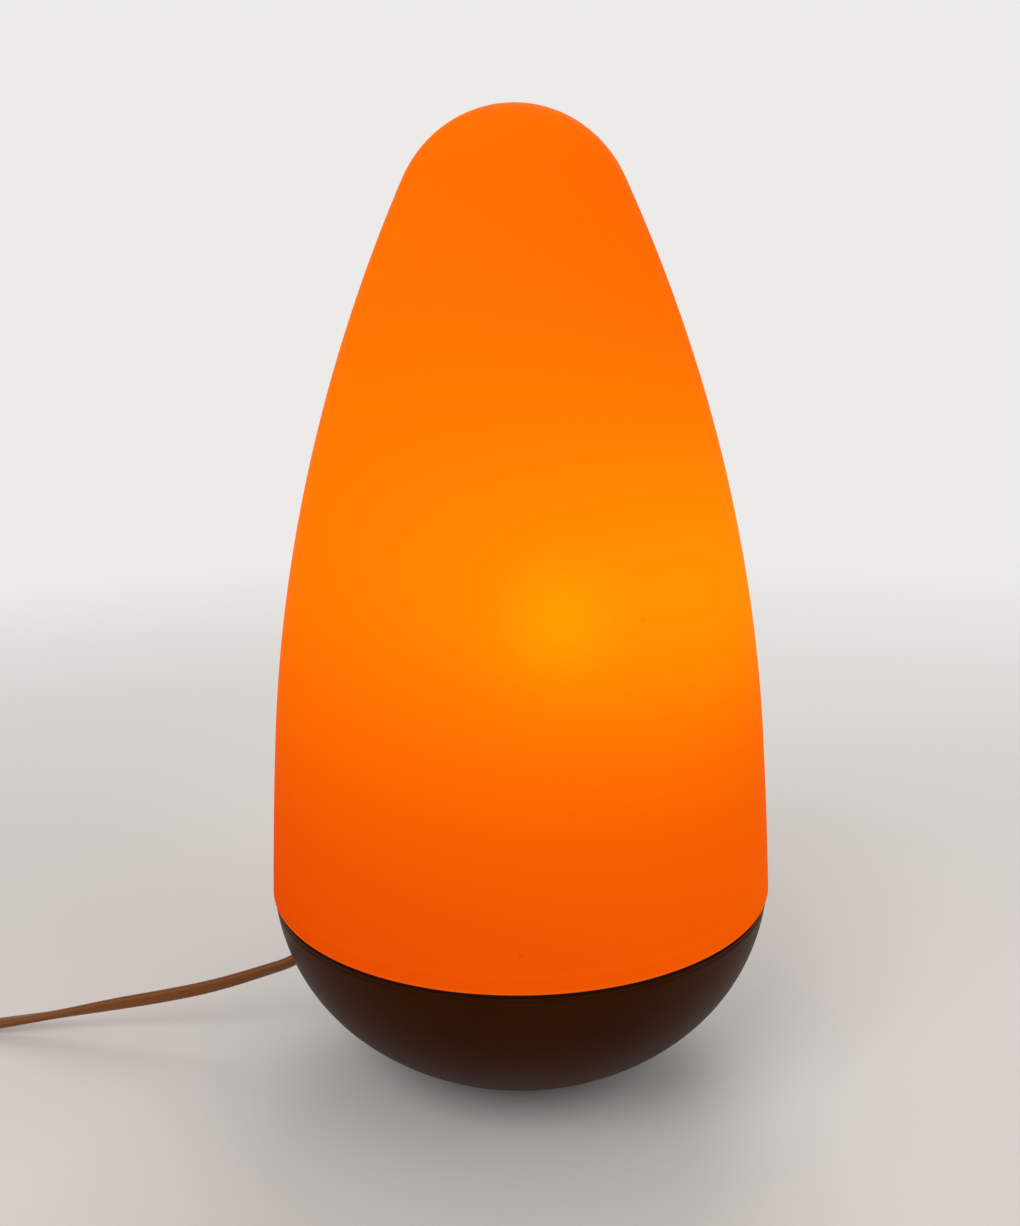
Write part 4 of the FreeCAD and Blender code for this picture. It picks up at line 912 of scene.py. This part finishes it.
# Switch on the flex: two dark brown moulded shells screwed together from below, with a glossy
# rocker on a steel pin between two lugs of the upper shell.
SWITCH_SEATS = [(x, 0.002, 0.0038) for x in (-0.305, -0.349)]
SWITCH_SCREW_LENGTH = 0.0082
brown_moulding = moulded("brown_moulding", (0.040, 0.0185, 0.0095), grain=1500.0, roughness=0.42)
dress(brown_moulding, "switch_lower", "switch_upper")
rocker_plastic = moulded("rocker_plastic", (0.045, 0.0205, 0.0105), grain=700.0, roughness=0.26)
dress(rocker_plastic, "switch_rocker")
cover_screws = cross_screws(
    "switch_cover_screws", "switch_screws", SWITCH_SEATS, SWITCH_SCREW_LENGTH
)


# Put-away flex: the rest of the 1.8 m lies beside the switch as a flat coil in two layers, wound in
# along the table and out again on top, held by a band, with its plug beside it.
COIL_MIDDLE = Vector((-357.0, -62.0, 0.0))
COIL_INNER = 24.8
COIL_PITCH = 6.15
COIL_FLOOR = 2.7
COIL_LAYER = 3.9
TURNS_IN, TURNS_UP, TURNS_OUT = 3.0, 0.5, 2.75
TURNS = TURNS_IN + TURNS_UP + TURNS_OUT
POINTS_A_TURN = 16
# The smooth line runs inside its control points by this share of their radius
SPLINE_PULL = math.cos(math.pi / POINTS_A_TURN)


def coil_spot(turn):
    """A point of the wound line, counted in turns from where the flex comes in."""
    reversal = TURNS_IN + TURNS_UP / 2
    radius = COIL_INNER + COIL_PITCH * (TURNS_IN - min(turn, reversal) + max(turn - reversal, 0.0))
    height = COIL_FLOOR + COIL_LAYER * smooth((turn - TURNS_IN) / TURNS_UP)
    angle = math.pi + 2 * math.pi * turn
    radius /= SPLINE_PULL
    return COIL_MIDDLE + Vector((radius * math.cos(angle), radius * math.sin(angle), height))


INTO_COIL = [
    (-358.0, 2.0, 8.0),
    (-367.0, 2.0, 8.0),
    (-379.5, -0.9, 5.6),
    (-389.5, -8.4, 3.4),
    (-396.0, -18.4, 2.8),
    (-399.4, -30.4, 2.7),
    (-400.2, -46.0, 2.7),
]
OUT_OF_COIL = [
    (-345.0, -103.7, 6.6),
    (-333.0, -103.7, 6.8),
    (-321.0, -103.7, 6.85),
    (-309.0, -103.7, 6.85),
    (-299.5, -103.7, 6.85),
]
wound = [coil_spot(i / POINTS_A_TURN) for i in range(int(TURNS * POINTS_A_TURN) + 1)]
coil_points = spline_points("coil_route", [*INTO_COIL, *wound, *OUT_OF_COIL], steps=6)
coil_flex = oval_tube("put_away_flex_sheath", coil_points, lying, flex_sheath)
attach(coil_flex, "base")
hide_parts("flex_to_coil", "flex_coil", "flex_to_plug")

# Band of soft black plastic round the turns, a closed loop with rounded corners
TIE_INSIDE, TIE_OUTSIDE = 21.1, 43.9
TIE_FLOOR, TIE_ROOF = 0.05, 9.2
TIE_CORNER, TIE_WALL, TIE_WIDTH = 2.4, 0.6, 8.0
CORNER_STEPS = 8
tie_plastic = moulded("black_band", (0.022, 0.021, 0.02), grain=1500.0, roughness=0.5)


def band_loop(inset):
    """The loop's corners, moved inwards by an inset, as (distance from the middle, height)."""
    ends = (TIE_INSIDE + TIE_CORNER, TIE_OUTSIDE - TIE_CORNER)
    levels = (TIE_FLOOR + TIE_CORNER, TIE_ROOF - TIE_CORNER)
    loop = []
    for end, level, first in ((1, 0, -90), (1, 1, 0), (0, 1, 90), (0, 0, 180)):
        loop += arc((ends[end], levels[level]), TIE_CORNER - inset, first, first + 90, CORNER_STEPS)
    return loop


tie_rings = [
    [(COIL_MIDDLE + Vector((x, side * TIE_WIDTH / 2, z))) / 1000 for x, z in band_loop(inset)]
    for inset, side in ((0, -1), (0, 1), (TIE_WALL, 1), (TIE_WALL, -1))
]
tie = new_piece("coil_band", skinned("coil_band", tie_rings, comes_round=True), tie_plastic)
for face in tie.data.polygons:
    face.use_smooth = abs(face.normal.y) < 0.5
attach(tie, "base")
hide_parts("flex_tie")


# Plug: a flat two-pin plug of the same brown plastic as the switch, moulded onto the end of the
# flex, with round brass pins.
dress(brown_moulding, "plug_body")
pin_metal = plated("pin_brass", (0.52, 0.40, 0.20), (0.66, 0.53, 0.29), roughness=0.26, draw=1500.0)
dress(pin_metal, "plug_pins")
